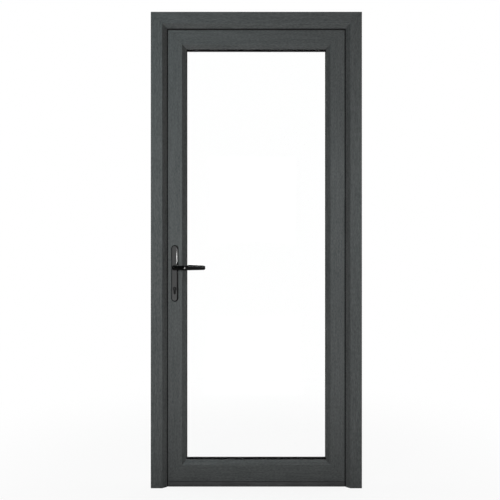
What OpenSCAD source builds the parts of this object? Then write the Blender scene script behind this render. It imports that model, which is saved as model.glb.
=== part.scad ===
// PVC door set: a single glazed leaf in its frame, opening inwards, millimetres
// X runs along the width, Y from outside to inside, Z up; the origin is under the middle of the threshold

/* [Door set] */
// Overall width of the frame
frame_w = 920; // [760:1:1100]
// Overall height of the frame
frame_h = 2075; // [1950:1:2300]

/* [Frame profile] */
// Depth of the frame from outside face to inside face
frame_d = 70; // [66:0.5:80]
// Width of the flat outside face
frame_face = 50; // [46:0.5:60]
// Width of the bevel on the lip
frame_bevel_w = 18; // [14:0.5:24]
// Depth of the bevel on the lip
frame_bevel_d = 14; // [10:0.5:15]
// Depth of the lip from the outside face to its back
frame_lip_t = 18; // [17:0.5:20]
// Distance from the outer edge to the rebate floor
rebate_floor = 48; // [46:0.5:54]
// Outer wall thickness of the hollow profiles
profile_wall = 2.8; // [2.4:0.1:3.2]
// Inner web thickness of the hollow profiles
profile_web = 2; // [1.5:0.1:2.4]
// Radius of the visible arrises
arris_r = 1.2; // [0.6:0.1:1.8]

/* [Sash profile] */
// Depth of the sash
sash_d = 70; // [68:0.5:78]
// Distance from the frame's outside face back to the sash's outside face
sash_setback = 22; // [21:0.5:26]
// Width of the flat outside face of the sash
sash_face = 76; // [72:0.5:90]
// Width of the bevel beside the glass
sash_bevel_w = 18; // [14:0.5:22]
// Depth of the bevel beside the glass
sash_bevel_d = 12; // [9:0.5:13]
// Depth of the glazing lip from the sash's outside face to its back
sash_lip_t = 16; // [15:0.5:17]
// Depth of the glazing rebate in the plane of the door
glazing_rebate = 22; // [20:0.5:24]
// Gap between the frame's rebate floor and the edge of the sash
edge_gap = 10; // [9.5:0.5:11]
// Width of the flange that covers the frame inside
flange_w = 15; // [14:0.5:16]
// Thickness of that flange
flange_t = 18; // [16:0.5:18.5]
// Height of the sash's lower edge above the floor
sash_foot = 19; // [19:0.5:28]

/* [Threshold] */
// Height of the threshold's tread
tread_h = 9; // [8:0.5:11]
// Height of the threshold's outside nose
nose_h = 19; // [15:0.5:22]
// Thickness of the nose
nose_t = 3; // [2.5:0.1:3.4]

/* [Glass] */
// Thickness of each pane
pane_t = 4; // [4:0.5:6]
// Width of the cavity between the panes
cavity_w = 20; // [16:0.5:20]
// Thickness of the seals either side of the glass
glazing_seal_t = 3; // [2.5:0.1:3.5]
// Room between the glass edge and the rebate floor
glass_edge_gap = 5; // [4:0.5:6]

/* [Handle] */
// Height of the spindle above the floor
spindle_z = 960; // [900:1:1100]
// Distance from the lock edge to the spindle
backset = 45; // [45:0.5:48]
// Distance between spindle and cylinder centres
cylinder_drop = 92; // [92:1:96]
// Width of the handle plates
plate_w = 30.5; // [29:0.5:34]
// Height of the handle plates
plate_h = 248; // [244:1:256]
// Thickness of the handle plates
plate_t = 8; // [7:0.5:10]
// Distance from the spindle down to the middle of the plate
plate_offset = 25; // [22:1:28]
// Length of the outside lever from the spindle to its tip
lever_len = 137; // [120:1:150]
// Length of the inside lever from the spindle to its tip
inside_lever_len = 124; // [112:1:150]
// Distance from the sash face to the middle of the grip
lever_reach = 52; // [46:1:60]
// Height of the grip
grip_h = 20; // [16:0.5:24]
// Thickness of the grip
grip_t = 12; // [10:0.5:15]
// Side of the square spindle
spindle_side = 8; // [7:0.5:9]

/* [Lock] */
// Length of the lock's faceplate
faceplate_len = 1700; // [1600:1:1760]
// Width of the faceplate
faceplate_w = 16; // [15:0.5:16.5]
// Thickness of the faceplate
faceplate_t = 3; // [2.5:0.1:3.2]
// Distance from the spindle up to the upper hook's pivot
upper_hook_rise = 600; // [500:1:700]
// Distance from the spindle down to the lower hook's pivot
lower_hook_drop = 600; // [500:1:640]
// Reach of a hook from its pivot
hook_reach = 42; // [41:0.5:43]
// Thickness of a hook
hook_t = 6; // [5:0.5:7]
// Travel of the latch
latch_throw = 9; // [8:0.5:9.5]
// Travel of the deadbolt
bolt_throw = 20; // [15:0.5:20]

/* [Hinges] */
// Distance of the outer hinges' middles from the ends of the frame
hinge_inset = 245; // [200:1:320]
// Height of a hinge
hinge_h = 100; // [90:1:120]
// Radius of the hinge knuckles
knuckle_r = 8.5; // [8:0.1:9]
// Radius of the hinge pins
pin_r = 4.5; // [4:0.1:5]
// Thickness of the hinge plates
hinge_plate_t = 3.5; // [3:0.1:4]

/* [Fixings] */
// Radius of the holes for the wall fixings
fixing_r = 4; // [3.5:0.25:5]
// Height of the lowest wall fixing
fixing_z = 150; // [120:1:200]
// Distance between the fixings of a pair
fixing_pitch = 500; // [400:1:560]
// Distance between the lower and the upper pair
fixing_pair_pitch = 1150; // [1050:1:1200]
// Radius of the countersunk screws' shanks
screw_r = 2; // [1.75:0.05:2.25]

/* [Hidden] */
$fn = 64;
// clearances: between neighbours at rest, in running fits, round inserted pieces, and in mitred seams
clear = 0.3;
running = 0.05;
loose = 0.15;
seam_gap = 0.05;
through = 1;
arc_steps = 3;

foil = [0.27, 0.285, 0.29];
black = [0.05, 0.05, 0.055];
steel = [0.62, 0.64, 0.66];
glass_tint = [0.75, 0.85, 0.85, 0.35];
anodised = [0.2, 0.21, 0.215];
warm_edge = [0.12, 0.12, 0.12];
packer_blue = [0.15, 0.3, 0.6];
plug_grey = [0.3, 0.3, 0.31];

// depths are measured back from the frame's outside face, widths inward from a member's outer edge
y0 = -frame_d / 2;
frame_leg = frame_face + frame_bevel_w;
sash_edge = rebate_floor + edge_gap;
sash_w = frame_w - 2 * sash_edge;
sash_top = frame_h - sash_edge;
sash_h = sash_top - sash_foot;
sash_leg = sash_face + sash_bevel_w;
sash_back = sash_setback + sash_d;
flange_front = sash_back - flange_t;
lip_back = sash_setback + sash_lip_t;
glass_floor = sash_leg - glazing_rebate;
glass_front = lip_back + glazing_seal_t;
cavity_front = glass_front + pane_t;
cavity_back = cavity_front + cavity_w;
glass_back = cavity_back + pane_t;
bead_front = glass_back + glazing_seal_t;
glass_edge = glass_floor + glass_edge_gap;
spacer_h = 6.5;
sealant_h = 6;

// grooves and roots of the seals
root_w = 3;
root_d = 3.4;
seal_land = 4.5;
frame_root = frame_leg - seal_land - root_w;
lip_root = sash_leg - seal_land - root_w;
flange_root = -flange_w + seal_land;
seal_show = 4.5;

// hardware groove round the sash edge
groove_w = 17;
groove_d = 6.5;
lock_setback = 25;
lock_v = sash_setback + lock_setback;
groove_floor = groove_d + profile_wall;
bead_groove_inset = 12;
bead_groove_v = sash_back - bead_groove_inset;
bead_groove_w = 4;
bead_groove_d = 5;

// lock and handle places on the lock stile
cylinder_z = spindle_z - cylinder_drop;
spindle_x = -sash_w / 2 + backset;
plate_screw_r = 2.5;
plate_screw_room = 0.5;
faceplate_z = spindle_z - faceplate_len / 2;
case_t = 14;
case_front = lock_v - case_t / 2;
case_back = lock_v + case_t / 2;
case_behind = 17;
case_deep = backset + case_behind;
case_rise = 74;
case_top = spindle_z + case_rise;
case_drop = 30;
case_foot = cylinder_z - case_drop;
latch_rise = 42;
latch_z = spindle_z + latch_rise;
latch_h = 18;
latch_t = 11;
latch_tail = 32;
bolt_drop = 44;
bolt_z = spindle_z - bolt_drop;
bolt_h = 22;
bolt_t = 10;
bolt_len = 2 * bolt_throw;
follower_r = 11;
euro_r = 8.5;
euro_tail_w = 10;
euro_drop = 19.5;
cylinder_proud = 1.5;
plug_r = 6.5;
cam_r = 15;
cam_w = 9.6;
cylinder_screw_drop = 18;
// plate screws stand midway between the foot of the cylinder and the end of the plate, and as far above
plate_rise = plate_h / 2 - plate_offset;
plate_mid = spindle_z + plate_rise - plate_h / 2;
cylinder_foot = cylinder_z - euro_drop - euro_tail_w / 2;
plate_screw_centres = 2 * plate_mid - cylinder_foot - (plate_mid - plate_h / 2);
plate_screws = [plate_mid - plate_screw_centres / 2, plate_mid + plate_screw_centres / 2];
hook_pivot_a = 22;
hook_hub_r = 7;
hook_pin_r = 2.5;
hook_arm_w = 10;
hook_claw_t = 7.5;
hook_claw_turn = 20;
hook_case_behind = 14;
hook_case_deep = hook_pivot_a + hook_case_behind;
hook_case_over = 4;
hook_case_rise = hook_reach + hook_case_over;
hook_case_drop = 14;
hook_case_wall = 3;
hook_slot_room = 1.5;
hook_slot_drop = hook_arm_w / 2 + hook_slot_room;
hook_slot_rise = hook_reach - hook_case_wall;
hook_zs = [spindle_z + upper_hook_rise, spindle_z - lower_hook_drop];
rail_w = 3;
rail_t = 2.6;
rail_room = 1;
rail_v = lock_v + hook_t / 2 + rail_room;
drive_throw = 20;
keep_t = 3;
keep_w = 25;
keep_lip_room = 3;
keep_lip_h = edge_gap - keep_lip_room;
keep_lip_t = 3;
keep_margin = 22;
keep_screw_inset = 10;

// hinges: the pin stands in front of the frame's inside face, beside the flange
hinge_zs = [frame_h - hinge_inset, frame_h / 2, hinge_inset];
pin_room = 3.5;
pin_inset = 2;
pin_u = sash_edge - flange_w - knuckle_r - pin_room;
pin_v = sash_back - pin_inset;
knuckle_gap = 0.5;
frame_knuckle_share = 0.32;
frame_knuckle_h = hinge_h * frame_knuckle_share;
hinge_frame_plate_u = 3;
hinge_frame_plate_w = 20;
hinge_sash_plate_w = 60;
hinge_screw_len = 27;
short_screw_len = 16;
screw_head_r = 4;
screw_head_h = 2.4;
screw_room = 0.1;

// outlines with rounded corners: each point is [across, deep, corner radius]
function unit(v) = v / norm(v);
function flat_point(p) = [p[0], p[1]];
function corner_arc(a, b, c, r) =
    let (
        u = unit(a - b),
        w = unit(c - b),
        half = acos(u * w) / 2,
        centre = b + unit(u + w) * r / sin(half),
        start = b + u * r / tan(half) - centre,
        stop = b + w * r / tan(half) - centre
    )
    [for (k = [0 : arc_steps]) centre + r * unit(start * (arc_steps - k) + stop * k)];
function rounded(pts) =
    let (n = len(pts))
    [
        for (i = [0 : n - 1])
            let (
                a = flat_point(pts[(i + n - 1) % n]),
                b = flat_point(pts[i]),
                c = flat_point(pts[(i + 1) % n])
            )
            each (pts[i][2] > 0 ? corner_arc(a, b, c, pts[i][2]) : [b])
    ];
function rect(u0, u1, v0, v1) = [[u0, v0], [u1, v0], [u1, v1], [u0, v1]];

// frame profile
back_groove_w = 6;
back_groove_d = 3;
back_groove_inset = 20;
back_groove_vs = [frame_lip_t + profile_web, frame_d - back_groove_inset];
steel_u0 = back_groove_d + profile_wall + profile_web;
rebate_chamber_w = 14;
rear_chamber_d = 7.2;
web_share = 0.4;
steel_u1 = rebate_floor - profile_wall - rebate_chamber_w;
frame_web_v = frame_lip_t - profile_web * web_share;
frame_rear_v = frame_d - profile_wall - rear_chamber_d - profile_web;
frame_outline = rounded([
    [0, 0, arris_r],
    [frame_face, 0, 2 * arris_r],
    [frame_leg, frame_bevel_d, arris_r],
    [frame_leg, frame_lip_t, 0],
    [frame_root + root_w, frame_lip_t, 0],
    [frame_root + root_w, frame_lip_t - root_d, 0],
    [frame_root, frame_lip_t - root_d, 0],
    [frame_root, frame_lip_t, 0],
    [rebate_floor, frame_lip_t, 0],
    [rebate_floor, frame_d, arris_r],
    [0, frame_d, arris_r],
    [0, back_groove_vs[1] + back_groove_w, 0],
    [back_groove_d, back_groove_vs[1] + back_groove_w, 0],
    [back_groove_d, back_groove_vs[1], 0],
    [0, back_groove_vs[1], 0],
    [0, back_groove_vs[0] + back_groove_w, 0],
    [back_groove_d, back_groove_vs[0] + back_groove_w, 0],
    [back_groove_d, back_groove_vs[0], 0],
    [0, back_groove_vs[0], 0]
]);
frame_slope = frame_bevel_d / frame_bevel_w;
lip_chamber_u = frame_root - profile_web;
function along_slope(wall, slope) = wall * sqrt(1 + slope * slope);
lip_chamber_v = frame_slope * (lip_chamber_u - frame_face) + along_slope(profile_wall, frame_slope);
frame_chambers = [
    [
        [profile_wall, profile_wall],
        [frame_face - profile_wall / 2, profile_wall],
        [lip_chamber_u, lip_chamber_v],
        [lip_chamber_u, frame_web_v - profile_web],
        [profile_wall, frame_web_v - profile_web]
    ],
    rect(steel_u0, steel_u1, frame_web_v, frame_rear_v),
    rect(steel_u1 + profile_web, rebate_floor - profile_wall, frame_lip_t + profile_web,
        frame_d - profile_wall),
    rect(profile_wall, steel_u1, frame_rear_v + profile_web, frame_d - profile_wall),
    rect(profile_wall, steel_u0 - profile_web, back_groove_vs[0] + back_groove_w + profile_wall,
        back_groove_vs[1] - profile_wall)
];

// sash profile
sash_outline = rounded([
    [0, sash_setback, arris_r],
    [sash_face, sash_setback, 2 * arris_r],
    [sash_leg, sash_setback + sash_bevel_d, arris_r],
    [sash_leg, lip_back, 0],
    [lip_root + root_w, lip_back, 0],
    [lip_root + root_w, lip_back - root_d, 0],
    [lip_root, lip_back - root_d, 0],
    [lip_root, lip_back, 0],
    [glass_floor, lip_back, 0],
    [glass_floor, bead_groove_v, 0],
    [glass_floor - bead_groove_d, bead_groove_v, 0],
    [glass_floor - bead_groove_d, bead_groove_v + bead_groove_w, 0],
    [glass_floor, bead_groove_v + bead_groove_w, 0],
    [glass_floor, sash_back, 0],
    [-flange_w, sash_back, 2 * arris_r],
    [-flange_w, flange_front, 0],
    [flange_root, flange_front, 0],
    [flange_root, flange_front + root_d, 0],
    [flange_root + root_w, flange_front + root_d, 0],
    [flange_root + root_w, flange_front, 0],
    [0, flange_front, 0],
    [0, lock_v + groove_w / 2, 0],
    [groove_d, lock_v + groove_w / 2, 0],
    [groove_d, lock_v - groove_w / 2, 0],
    [0, lock_v - groove_w / 2, 0]
]);
sash_web_v = lip_back - profile_web / 2;
sash_rear_v = flange_front - profile_web;
sash_slope = sash_bevel_d / sash_bevel_w;
sash_lip_u = lip_root - profile_web;
sash_lip_v = sash_setback + sash_slope * (sash_lip_u - sash_face) + along_slope(profile_wall, sash_slope);
sash_chambers = [
    [
        [profile_wall, sash_setback + profile_wall],
        [sash_face - profile_wall / 2, sash_setback + profile_wall],
        [sash_lip_u, sash_lip_v],
        [sash_lip_u, lip_back - profile_wall],
        [glass_floor, lip_back - profile_wall],
        [glass_floor, sash_web_v - profile_web],
        [profile_wall, sash_web_v - profile_web]
    ],
    rect(groove_floor, glass_floor - profile_wall, sash_web_v, sash_rear_v),
    [
        [profile_wall, sash_rear_v + profile_web],
        [glass_floor - bead_groove_d - profile_wall, sash_rear_v + profile_web],
        [glass_floor - bead_groove_d - profile_wall, sash_back - profile_wall],
        [-flange_w + profile_wall, sash_back - profile_wall],
        [-flange_w + profile_wall, flange_front + root_d + profile_web],
        [profile_wall, flange_front + root_d + profile_web]
    ]
];

// a member cut from a profile, with mitred or square ends, along Z
module member(length, low, high, mitre_foot, mitre_top, gap = 0) {
    reach = sash_leg + frame_leg;
    l = low - through;
    h = high + through;
    intersection() {
        translate([0, 0, -reach])
            linear_extrude(length + 2 * reach)
                children();
        translate([0, sash_back + frame_d, 0])
            rotate([90, 0, 0])
                linear_extrude(2 * frame_d + sash_back)
                    polygon([
                        [l, mitre_foot ? l + gap : 0],
                        [h, mitre_foot ? h + gap : 0],
                        [h, length - (mitre_top ? h + gap : 0)],
                        [l, length - (mitre_top ? l + gap : 0)]
                    ]);
    }
}
module hollow(outline, chambers) {
    difference() {
        polygon(outline);
        for (c = chambers) polygon(c);
    }
}
module frame_profile() { hollow(frame_outline, frame_chambers); }
module sash_profile() { hollow(sash_outline, sash_chambers); }

// places: each turns a member's own directions into those of its side of the door
module at_lock_jamb() { translate([-frame_w / 2, y0, 0]) children(); }
module at_hinge_jamb() { mirror([1, 0, 0]) at_lock_jamb() children(); }
module at_head() { translate([-frame_w / 2, y0, frame_h]) rotate([0, 90, 0]) children(); }
module at_lock_stile() { translate([-sash_w / 2, y0, sash_foot]) children(); }
module at_hinge_stile() { mirror([1, 0, 0]) at_lock_stile() children(); }
module at_top_rail() { translate([-sash_w / 2, y0, sash_top]) rotate([0, 90, 0]) children(); }
module at_bottom_rail() { translate([sash_w / 2, y0, sash_foot]) rotate([0, -90, 0]) children(); }
module at_lock_edge() { translate([-sash_w / 2, y0, 0]) children(); }
module through_leaf(z) { translate([spindle_x, y0, z]) rotate([-90, 0, 0]) children(); }
module on_inside() { translate([0, 2 * y0 + sash_setback + sash_back, 0]) mirror([0, 1, 0]) children(); }

// four cut lengths of one section round the sash, with a fine seam in each mitre
module sash_ring(low, high) {
    at_lock_stile() member(sash_h, low, high, true, true, seam_gap) children();
    at_hinge_stile() member(sash_h, low, high, true, true, seam_gap) children();
    at_top_rail() member(sash_w, low, high, true, true, seam_gap) children();
    at_bottom_rail() member(sash_w, low, high, true, true, seam_gap) children();
}

// countersunk screw pointing down -Z from its head, and its hole
module screw(length) {
    translate([0, 0, -screw_head_h]) cylinder(h = screw_head_h, r1 = screw_r, r2 = screw_head_r);
    translate([0, 0, -length]) cylinder(h = length - screw_head_h, r = screw_r);
}
module screw_hole(length) {
    translate([0, 0, -screw_head_h])
        cylinder(h = screw_head_h, r1 = screw_r + screw_room, r2 = screw_head_r + screw_room);
    translate([0, 0, -length - through]) cylinder(h = length + through, r = screw_r + screw_room);
}

// frame members
module frame_head() {
    color(foil) at_head() member(frame_w, 0, frame_leg, true, true) frame_profile();
}
module jamb() { at_lock_jamb() member(frame_h, 0, frame_leg, false, true) frame_profile(); }
module wall_fixings() {
    for (pair = [0, fixing_pair_pitch], step = [0, fixing_pitch])
        translate([-through, (frame_web_v + frame_rear_v) / 2, fixing_z + pair + step])
            rotate([0, 90, 0])
                cylinder(h = rebate_floor + 2 * through, r = fixing_r);
}
module frame_lock_jamb() {
    color(foil)
        difference() {
            jamb();
            at_lock_jamb() {
                wall_fixings();
                keep_pockets();
                for (p = keep_screw_places) keep_screw_at(p) screw_hole(short_screw_len);
                threshold_screw_places() threshold_screw_hole();
            }
        }
}
module frame_hinge_jamb() {
    color(foil)
        difference() {
            mirror([1, 0, 0]) jamb();
            at_hinge_jamb() {
                wall_fixings();
                threshold_screw_places() threshold_screw_hole();
            }
            hinge_frame_screw_places() screw_hole(hinge_screw_len);
        }
}

// galvanised steel boxes in the frame's main chamber
steel_t = 1.5;
steel_end_gap = 8;
frame_steel_end = frame_leg + steel_end_gap;
module box_section() {
    difference() {
        polygon(rect(steel_u0 + clear, steel_u1 - clear, frame_web_v + clear, frame_rear_v - clear));
        polygon(rect(steel_u0 + clear + steel_t, steel_u1 - clear - steel_t, frame_web_v + clear + steel_t,
            frame_rear_v - clear - steel_t));
    }
}
module head_steel() {
    color(steel)
        at_head()
            translate([0, 0, frame_steel_end])
                linear_extrude(frame_w - 2 * frame_steel_end)
                    box_section();
}
module jamb_steel() {
    translate([0, 0, frame_steel_end])
        linear_extrude(frame_h - 2 * frame_steel_end)
            box_section();
}
module jamb_steels() {
    color(steel) {
        at_lock_jamb()
            difference() {
                jamb_steel();
                wall_fixings();
            }
        difference() {
            at_hinge_jamb() jamb_steel();
            at_hinge_jamb() wall_fixings();
            hinge_frame_screw_places() screw_hole(hinge_screw_len);
        }
    }
}

// weather seal on the back of the lip: a root in its groove and a lip that shows beside the bevel
seal_back = sash_setback - clear;
seal_shoulder = 0.45;
frame_seal_section = [
    [frame_root + loose, frame_lip_t - root_d + loose],
    [frame_root + root_w - loose, frame_lip_t - root_d + loose],
    [frame_root + root_w - loose, frame_lip_t],
    [frame_leg, frame_lip_t],
    [frame_leg + seal_show, frame_lip_t + (seal_back - frame_lip_t) * seal_shoulder],
    [frame_leg + seal_show, seal_back],
    [sash_edge + root_w, seal_back],
    [sash_edge + root_w, frame_lip_t],
    [frame_root + loose, frame_lip_t]
];
module seal_length(length, mitre_foot) {
    member(length, 0, frame_leg + seal_show, mitre_foot, true, seam_gap) polygon(frame_seal_section);
}
module frame_seal() {
    color(black) {
        at_lock_jamb() seal_length(frame_h, false);
        at_hinge_jamb() seal_length(frame_h, false);
        at_head() seal_length(frame_w, true);
    }
}

// low threshold: a hollow tread between the jambs, with a nose between the seals
nose_v = seal_back - nose_t;
tread_v = sash_setback + clear;
tread_wall = 2;
port_r = screw_r + screw_room;
port_inset = 9;
port_vs = [tread_v + port_inset, frame_d - port_inset];
threshold_half = frame_w / 2 - rebate_floor - clear;
nose_half = frame_w / 2 - frame_leg - seal_show - 2 * clear;
module tread_section() {
    difference() {
        polygon(rounded([
            [tread_v, 0, 0],
            [frame_d, 0, 0],
            [frame_d, tread_h, arris_r],
            [tread_v, tread_h, 0]
        ]));
        for (v = port_vs) translate([v, tread_h / 2]) circle(r = port_r);
        polygon(rect(port_vs[0] + port_r + tread_wall, port_vs[1] - port_r - tread_wall, tread_wall,
            tread_h - tread_wall));
    }
}
seal_seat_h = 3;
module along_threshold(half) {
    translate([-half, y0, 0]) rotate([90, 0, 90]) linear_extrude(2 * half) children();
}
module threshold() {
    color(anodised)
        difference() {
            union() {
                along_threshold(threshold_half) tread_section();
                along_threshold(nose_half)
                    polygon(rounded([
                        [nose_v, 0, 0],
                        [tread_v, 0, 0],
                        [tread_v, tread_h, 0],
                        [nose_v + nose_t, tread_h, 0],
                        [nose_v + nose_t, nose_h, 0],
                        [nose_v, nose_h, arris_r]
                    ]));
            }
            for (x = threshold_fixing_xs)
                translate([x, y0 + (tread_v + frame_d) / 2, -through])
                    cylinder(h = tread_h + 2 * through, r = fixing_r);
        }
}
threshold_fixing_pitch = 400;
threshold_fixing_xs = [-threshold_fixing_pitch / 2, threshold_fixing_pitch / 2];
module threshold_seal() {
    color(black)
        along_threshold(nose_half)
            polygon([
                [nose_v, nose_h],
                [nose_v + nose_t, nose_h],
                [seal_back, nose_h + seal_seat_h],
                [nose_v + nose_t / 2, nose_h + seal_seat_h]
            ]);
}
// long screws through the rebate floor of each jamb into the threshold's ports
threshold_screw_len = 30;
threshold_screw_head_r = 3.6;
threshold_screw_head_h = 2.5;
module threshold_screw_places() {
    for (v = port_vs) translate([rebate_floor - profile_wall, v, tread_h / 2]) rotate([0, 90, 0]) children();
}
module threshold_screw_hole() { cylinder(h = profile_wall + through, r = port_r); }
module threshold_screw() {
    cylinder(h = threshold_screw_len, r = screw_r);
    translate([0, 0, -threshold_screw_head_h])
        cylinder(h = threshold_screw_head_h, r = threshold_screw_head_r);
}
module threshold_screws() {
    color(steel) {
        at_lock_jamb() threshold_screw_places() threshold_screw();
        at_hinge_jamb() threshold_screw_places() threshold_screw();
    }
}

// strikers on the lock jamb, with slots for latch, deadbolt and hooks
keep_v0 = lock_v - keep_w / 2;
keep_face = rebate_floor + keep_t;
latch_room = 1;
hook_keep_short = 11;
hook_keep_rise = hook_reach - hook_keep_short;
hook_keeps = [for (z = hook_zs) [z - hook_slot_drop - keep_margin, z + hook_keep_rise + keep_margin]];
centre_keep_span = [bolt_z - bolt_h / 2 - keep_margin, latch_z + latch_h / 2 + keep_margin];
keep_spans = concat([centre_keep_span], hook_keeps);
keep_screw_places = [for (s = keep_spans, z = [s[0] + keep_screw_inset, s[1] - keep_screw_inset]) z];
module keep_screw_at(z) { translate([keep_face, lock_v, z]) rotate([0, 90, 0]) children(); }
module slot(depth0, depth1, thick, z0, z1) {
    translate([depth0, lock_v - thick / 2, z0]) cube([depth1 - depth0, thick, z1 - z0]);
}
module hook_slots(depth0, depth1, drop) {
    for (z = hook_zs) slot(depth0, depth1, hook_t + 2 * latch_room, z - drop, z + hook_keep_rise);
}
module bolt_slot(depth0, depth1) {
    slot(depth0, depth1, bolt_t + 2 * latch_room, bolt_z - bolt_h / 2 - latch_room,
        bolt_z + bolt_h / 2 + latch_room);
}
module latch_slot(depth0, depth1) {
    slot(depth0, depth1, latch_t + 2 * latch_room, latch_z - latch_h / 2 - latch_room,
        latch_z + latch_h / 2 + latch_room);
}
module keep_pockets() {
    wall_in = rebate_floor - profile_wall - through;
    wall_out = rebate_floor + through;
    hook_slots(wall_in, wall_out, hook_reach * sin(hook_claw_turn) + 2 * latch_room);
    bolt_slot(wall_in, wall_out);
}
module keep_plate(span) {
    color(steel)
        at_lock_jamb()
            difference() {
                translate([rebate_floor, keep_v0, span[0]]) cube([keep_t, keep_w, span[1] - span[0]]);
                hook_slots(rebate_floor - through, keep_face + through, hook_slot_drop);
                bolt_slot(rebate_floor - through, keep_face + through);
                latch_slot(rebate_floor - through, keep_face + through);
                for (p = keep_screw_places) keep_screw_at(p) screw_hole(short_screw_len);
            }
}
module centre_keep() {
    color(steel) {
        keep_plate(centre_keep_span);
        at_lock_jamb()
            translate([rebate_floor, lock_v + latch_t / 2 + latch_room, latch_z - latch_h / 2 - latch_room])
                cube([keep_lip_h, keep_lip_t, latch_h + 2 * latch_room]);
    }
}
module upper_keep() { keep_plate(hook_keeps[0]); }
module lower_keep() { keep_plate(hook_keeps[1]); }

// flag hinges: the frame leaf carries two knuckles and the sash leaf one between them
module at_pin(z) { translate([frame_w / 2 - pin_u, y0 + pin_v, z - hinge_h / 2]) children(); }
module knuckle(z0, z1) {
    translate([0, 0, z0])
        difference() {
            union() {
                cylinder(h = z1 - z0, r = knuckle_r);
                linear_extrude(z1 - z0) children();
            }
            translate([0, 0, -through]) cylinder(h = z1 - z0 + 2 * through, r = pin_r + running);
        }
}
frame_face_drop = pin_v - frame_d;
hinge_plate_right = pin_u - hinge_frame_plate_u;
web_foot = [14, 22];
web_bite = 0.82;
web_turns = [232, 42];
function on_knuckle(turn) = web_bite * knuckle_r * [cos(turn), sin(turn)];
module frame_web() {
    polygon([
        [hinge_plate_right - web_foot[0], -frame_face_drop + hinge_plate_t / 2],
        [hinge_plate_right - web_foot[1], -frame_face_drop + hinge_plate_t / 2],
        on_knuckle(web_turns[0]),
        on_knuckle(web_turns[1])
    ]);
}
module hinge_frame_leaf(z) {
    color(black)
        difference() {
            at_pin(z) {
                translate([hinge_plate_right - hinge_frame_plate_w, -frame_face_drop, 0])
                    cube([hinge_frame_plate_w, hinge_plate_t, hinge_h]);
                knuckle(0, frame_knuckle_h) frame_web();
                knuckle(hinge_h - frame_knuckle_h, hinge_h) frame_web();
            }
            hinge_frame_screw_places() screw_hole(hinge_screw_len);
        }
}
module upper_hinge_frame_leaf() { hinge_frame_leaf(hinge_zs[0]); }
module middle_hinge_frame_leaf() { hinge_frame_leaf(hinge_zs[1]); }
module lower_hinge_frame_leaf() { hinge_frame_leaf(hinge_zs[2]); }

sash_plate_inset = 2;
sash_web_end = -2;
sash_web_rise = 0.9 * knuckle_r;
sash_plate_x = -(sash_edge - flange_w + sash_plate_inset - pin_u);
sash_face_rise = sash_back - pin_v;
module sash_web() {
    polygon([
        [sash_plate_x - through, sash_face_rise],
        [sash_plate_x - through, sash_face_rise + hinge_plate_t],
        [sash_web_end, sash_web_rise],
        [sash_web_end, sash_face_rise + clear]
    ]);
}
module hinge_sash_leaf(z) {
    color(black)
        difference() {
            at_pin(z) {
                translate([sash_plate_x - hinge_sash_plate_w, sash_face_rise, 0])
                    cube([hinge_sash_plate_w, hinge_plate_t, hinge_h]);
                knuckle(frame_knuckle_h + knuckle_gap, hinge_h - frame_knuckle_h - knuckle_gap) sash_web();
            }
            hinge_sash_screw_places() screw_hole(hinge_screw_len);
        }
}
module upper_hinge_sash_leaf() { hinge_sash_leaf(hinge_zs[0]); }
module middle_hinge_sash_leaf() { hinge_sash_leaf(hinge_zs[1]); }
module lower_hinge_sash_leaf() { hinge_sash_leaf(hinge_zs[2]); }
module hinge_pins() {
    color(steel) for (z = hinge_zs) at_pin(z) cylinder(h = hinge_h, r = pin_r);
}
screw_rows = [0.14, 0.5, 0.86];
frame_screw_across = 0.32;
sash_screws_across = [0.35, 0.8];
module hinge_frame_screw_places() {
    for (z = hinge_zs, row = screw_rows)
        at_pin(z)
            translate([hinge_plate_right - frame_screw_across * hinge_frame_plate_w,
                hinge_plate_t - frame_face_drop, row * hinge_h])
                rotate([-90, 0, 0])
                    children();
}
module hinge_sash_screw_places() {
    for (z = hinge_zs, row = screw_rows, across = sash_screws_across)
        at_pin(z)
            translate([sash_plate_x - across * hinge_sash_plate_w, sash_face_rise + hinge_plate_t,
                row * hinge_h])
                rotate([-90, 0, 0])
                    children();
}
module frame_screws() {
    color(steel) {
        hinge_frame_screw_places() screw(hinge_screw_len);
        at_lock_jamb() for (p = keep_screw_places) keep_screw_at(p) screw(short_screw_len);
    }
}

// sash members
module sash_top_rail() {
    color(foil) at_top_rail() member(sash_w, -flange_w, sash_leg, true, true) sash_profile();
}
module sash_bottom_rail() {
    color(foil) at_bottom_rail() member(sash_w, -flange_w, sash_leg, true, true) sash_profile();
}
module sash_hinge_stile() {
    color(foil)
        difference() {
            at_hinge_stile() member(sash_h, -flange_w, sash_leg, true, true) sash_profile();
            hinge_sash_screw_places() screw_hole(hinge_screw_len);
        }
}
module sash_lock_stile() {
    color(foil)
        difference() {
            at_lock_stile() member(sash_h, -flange_w, sash_leg, true, true) sash_profile();
            lock_routing();
            at_lock_edge() for (z = faceplate_screw_zs) edge_screw_at(z) screw_hole(short_screw_len);
        }
}
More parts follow.
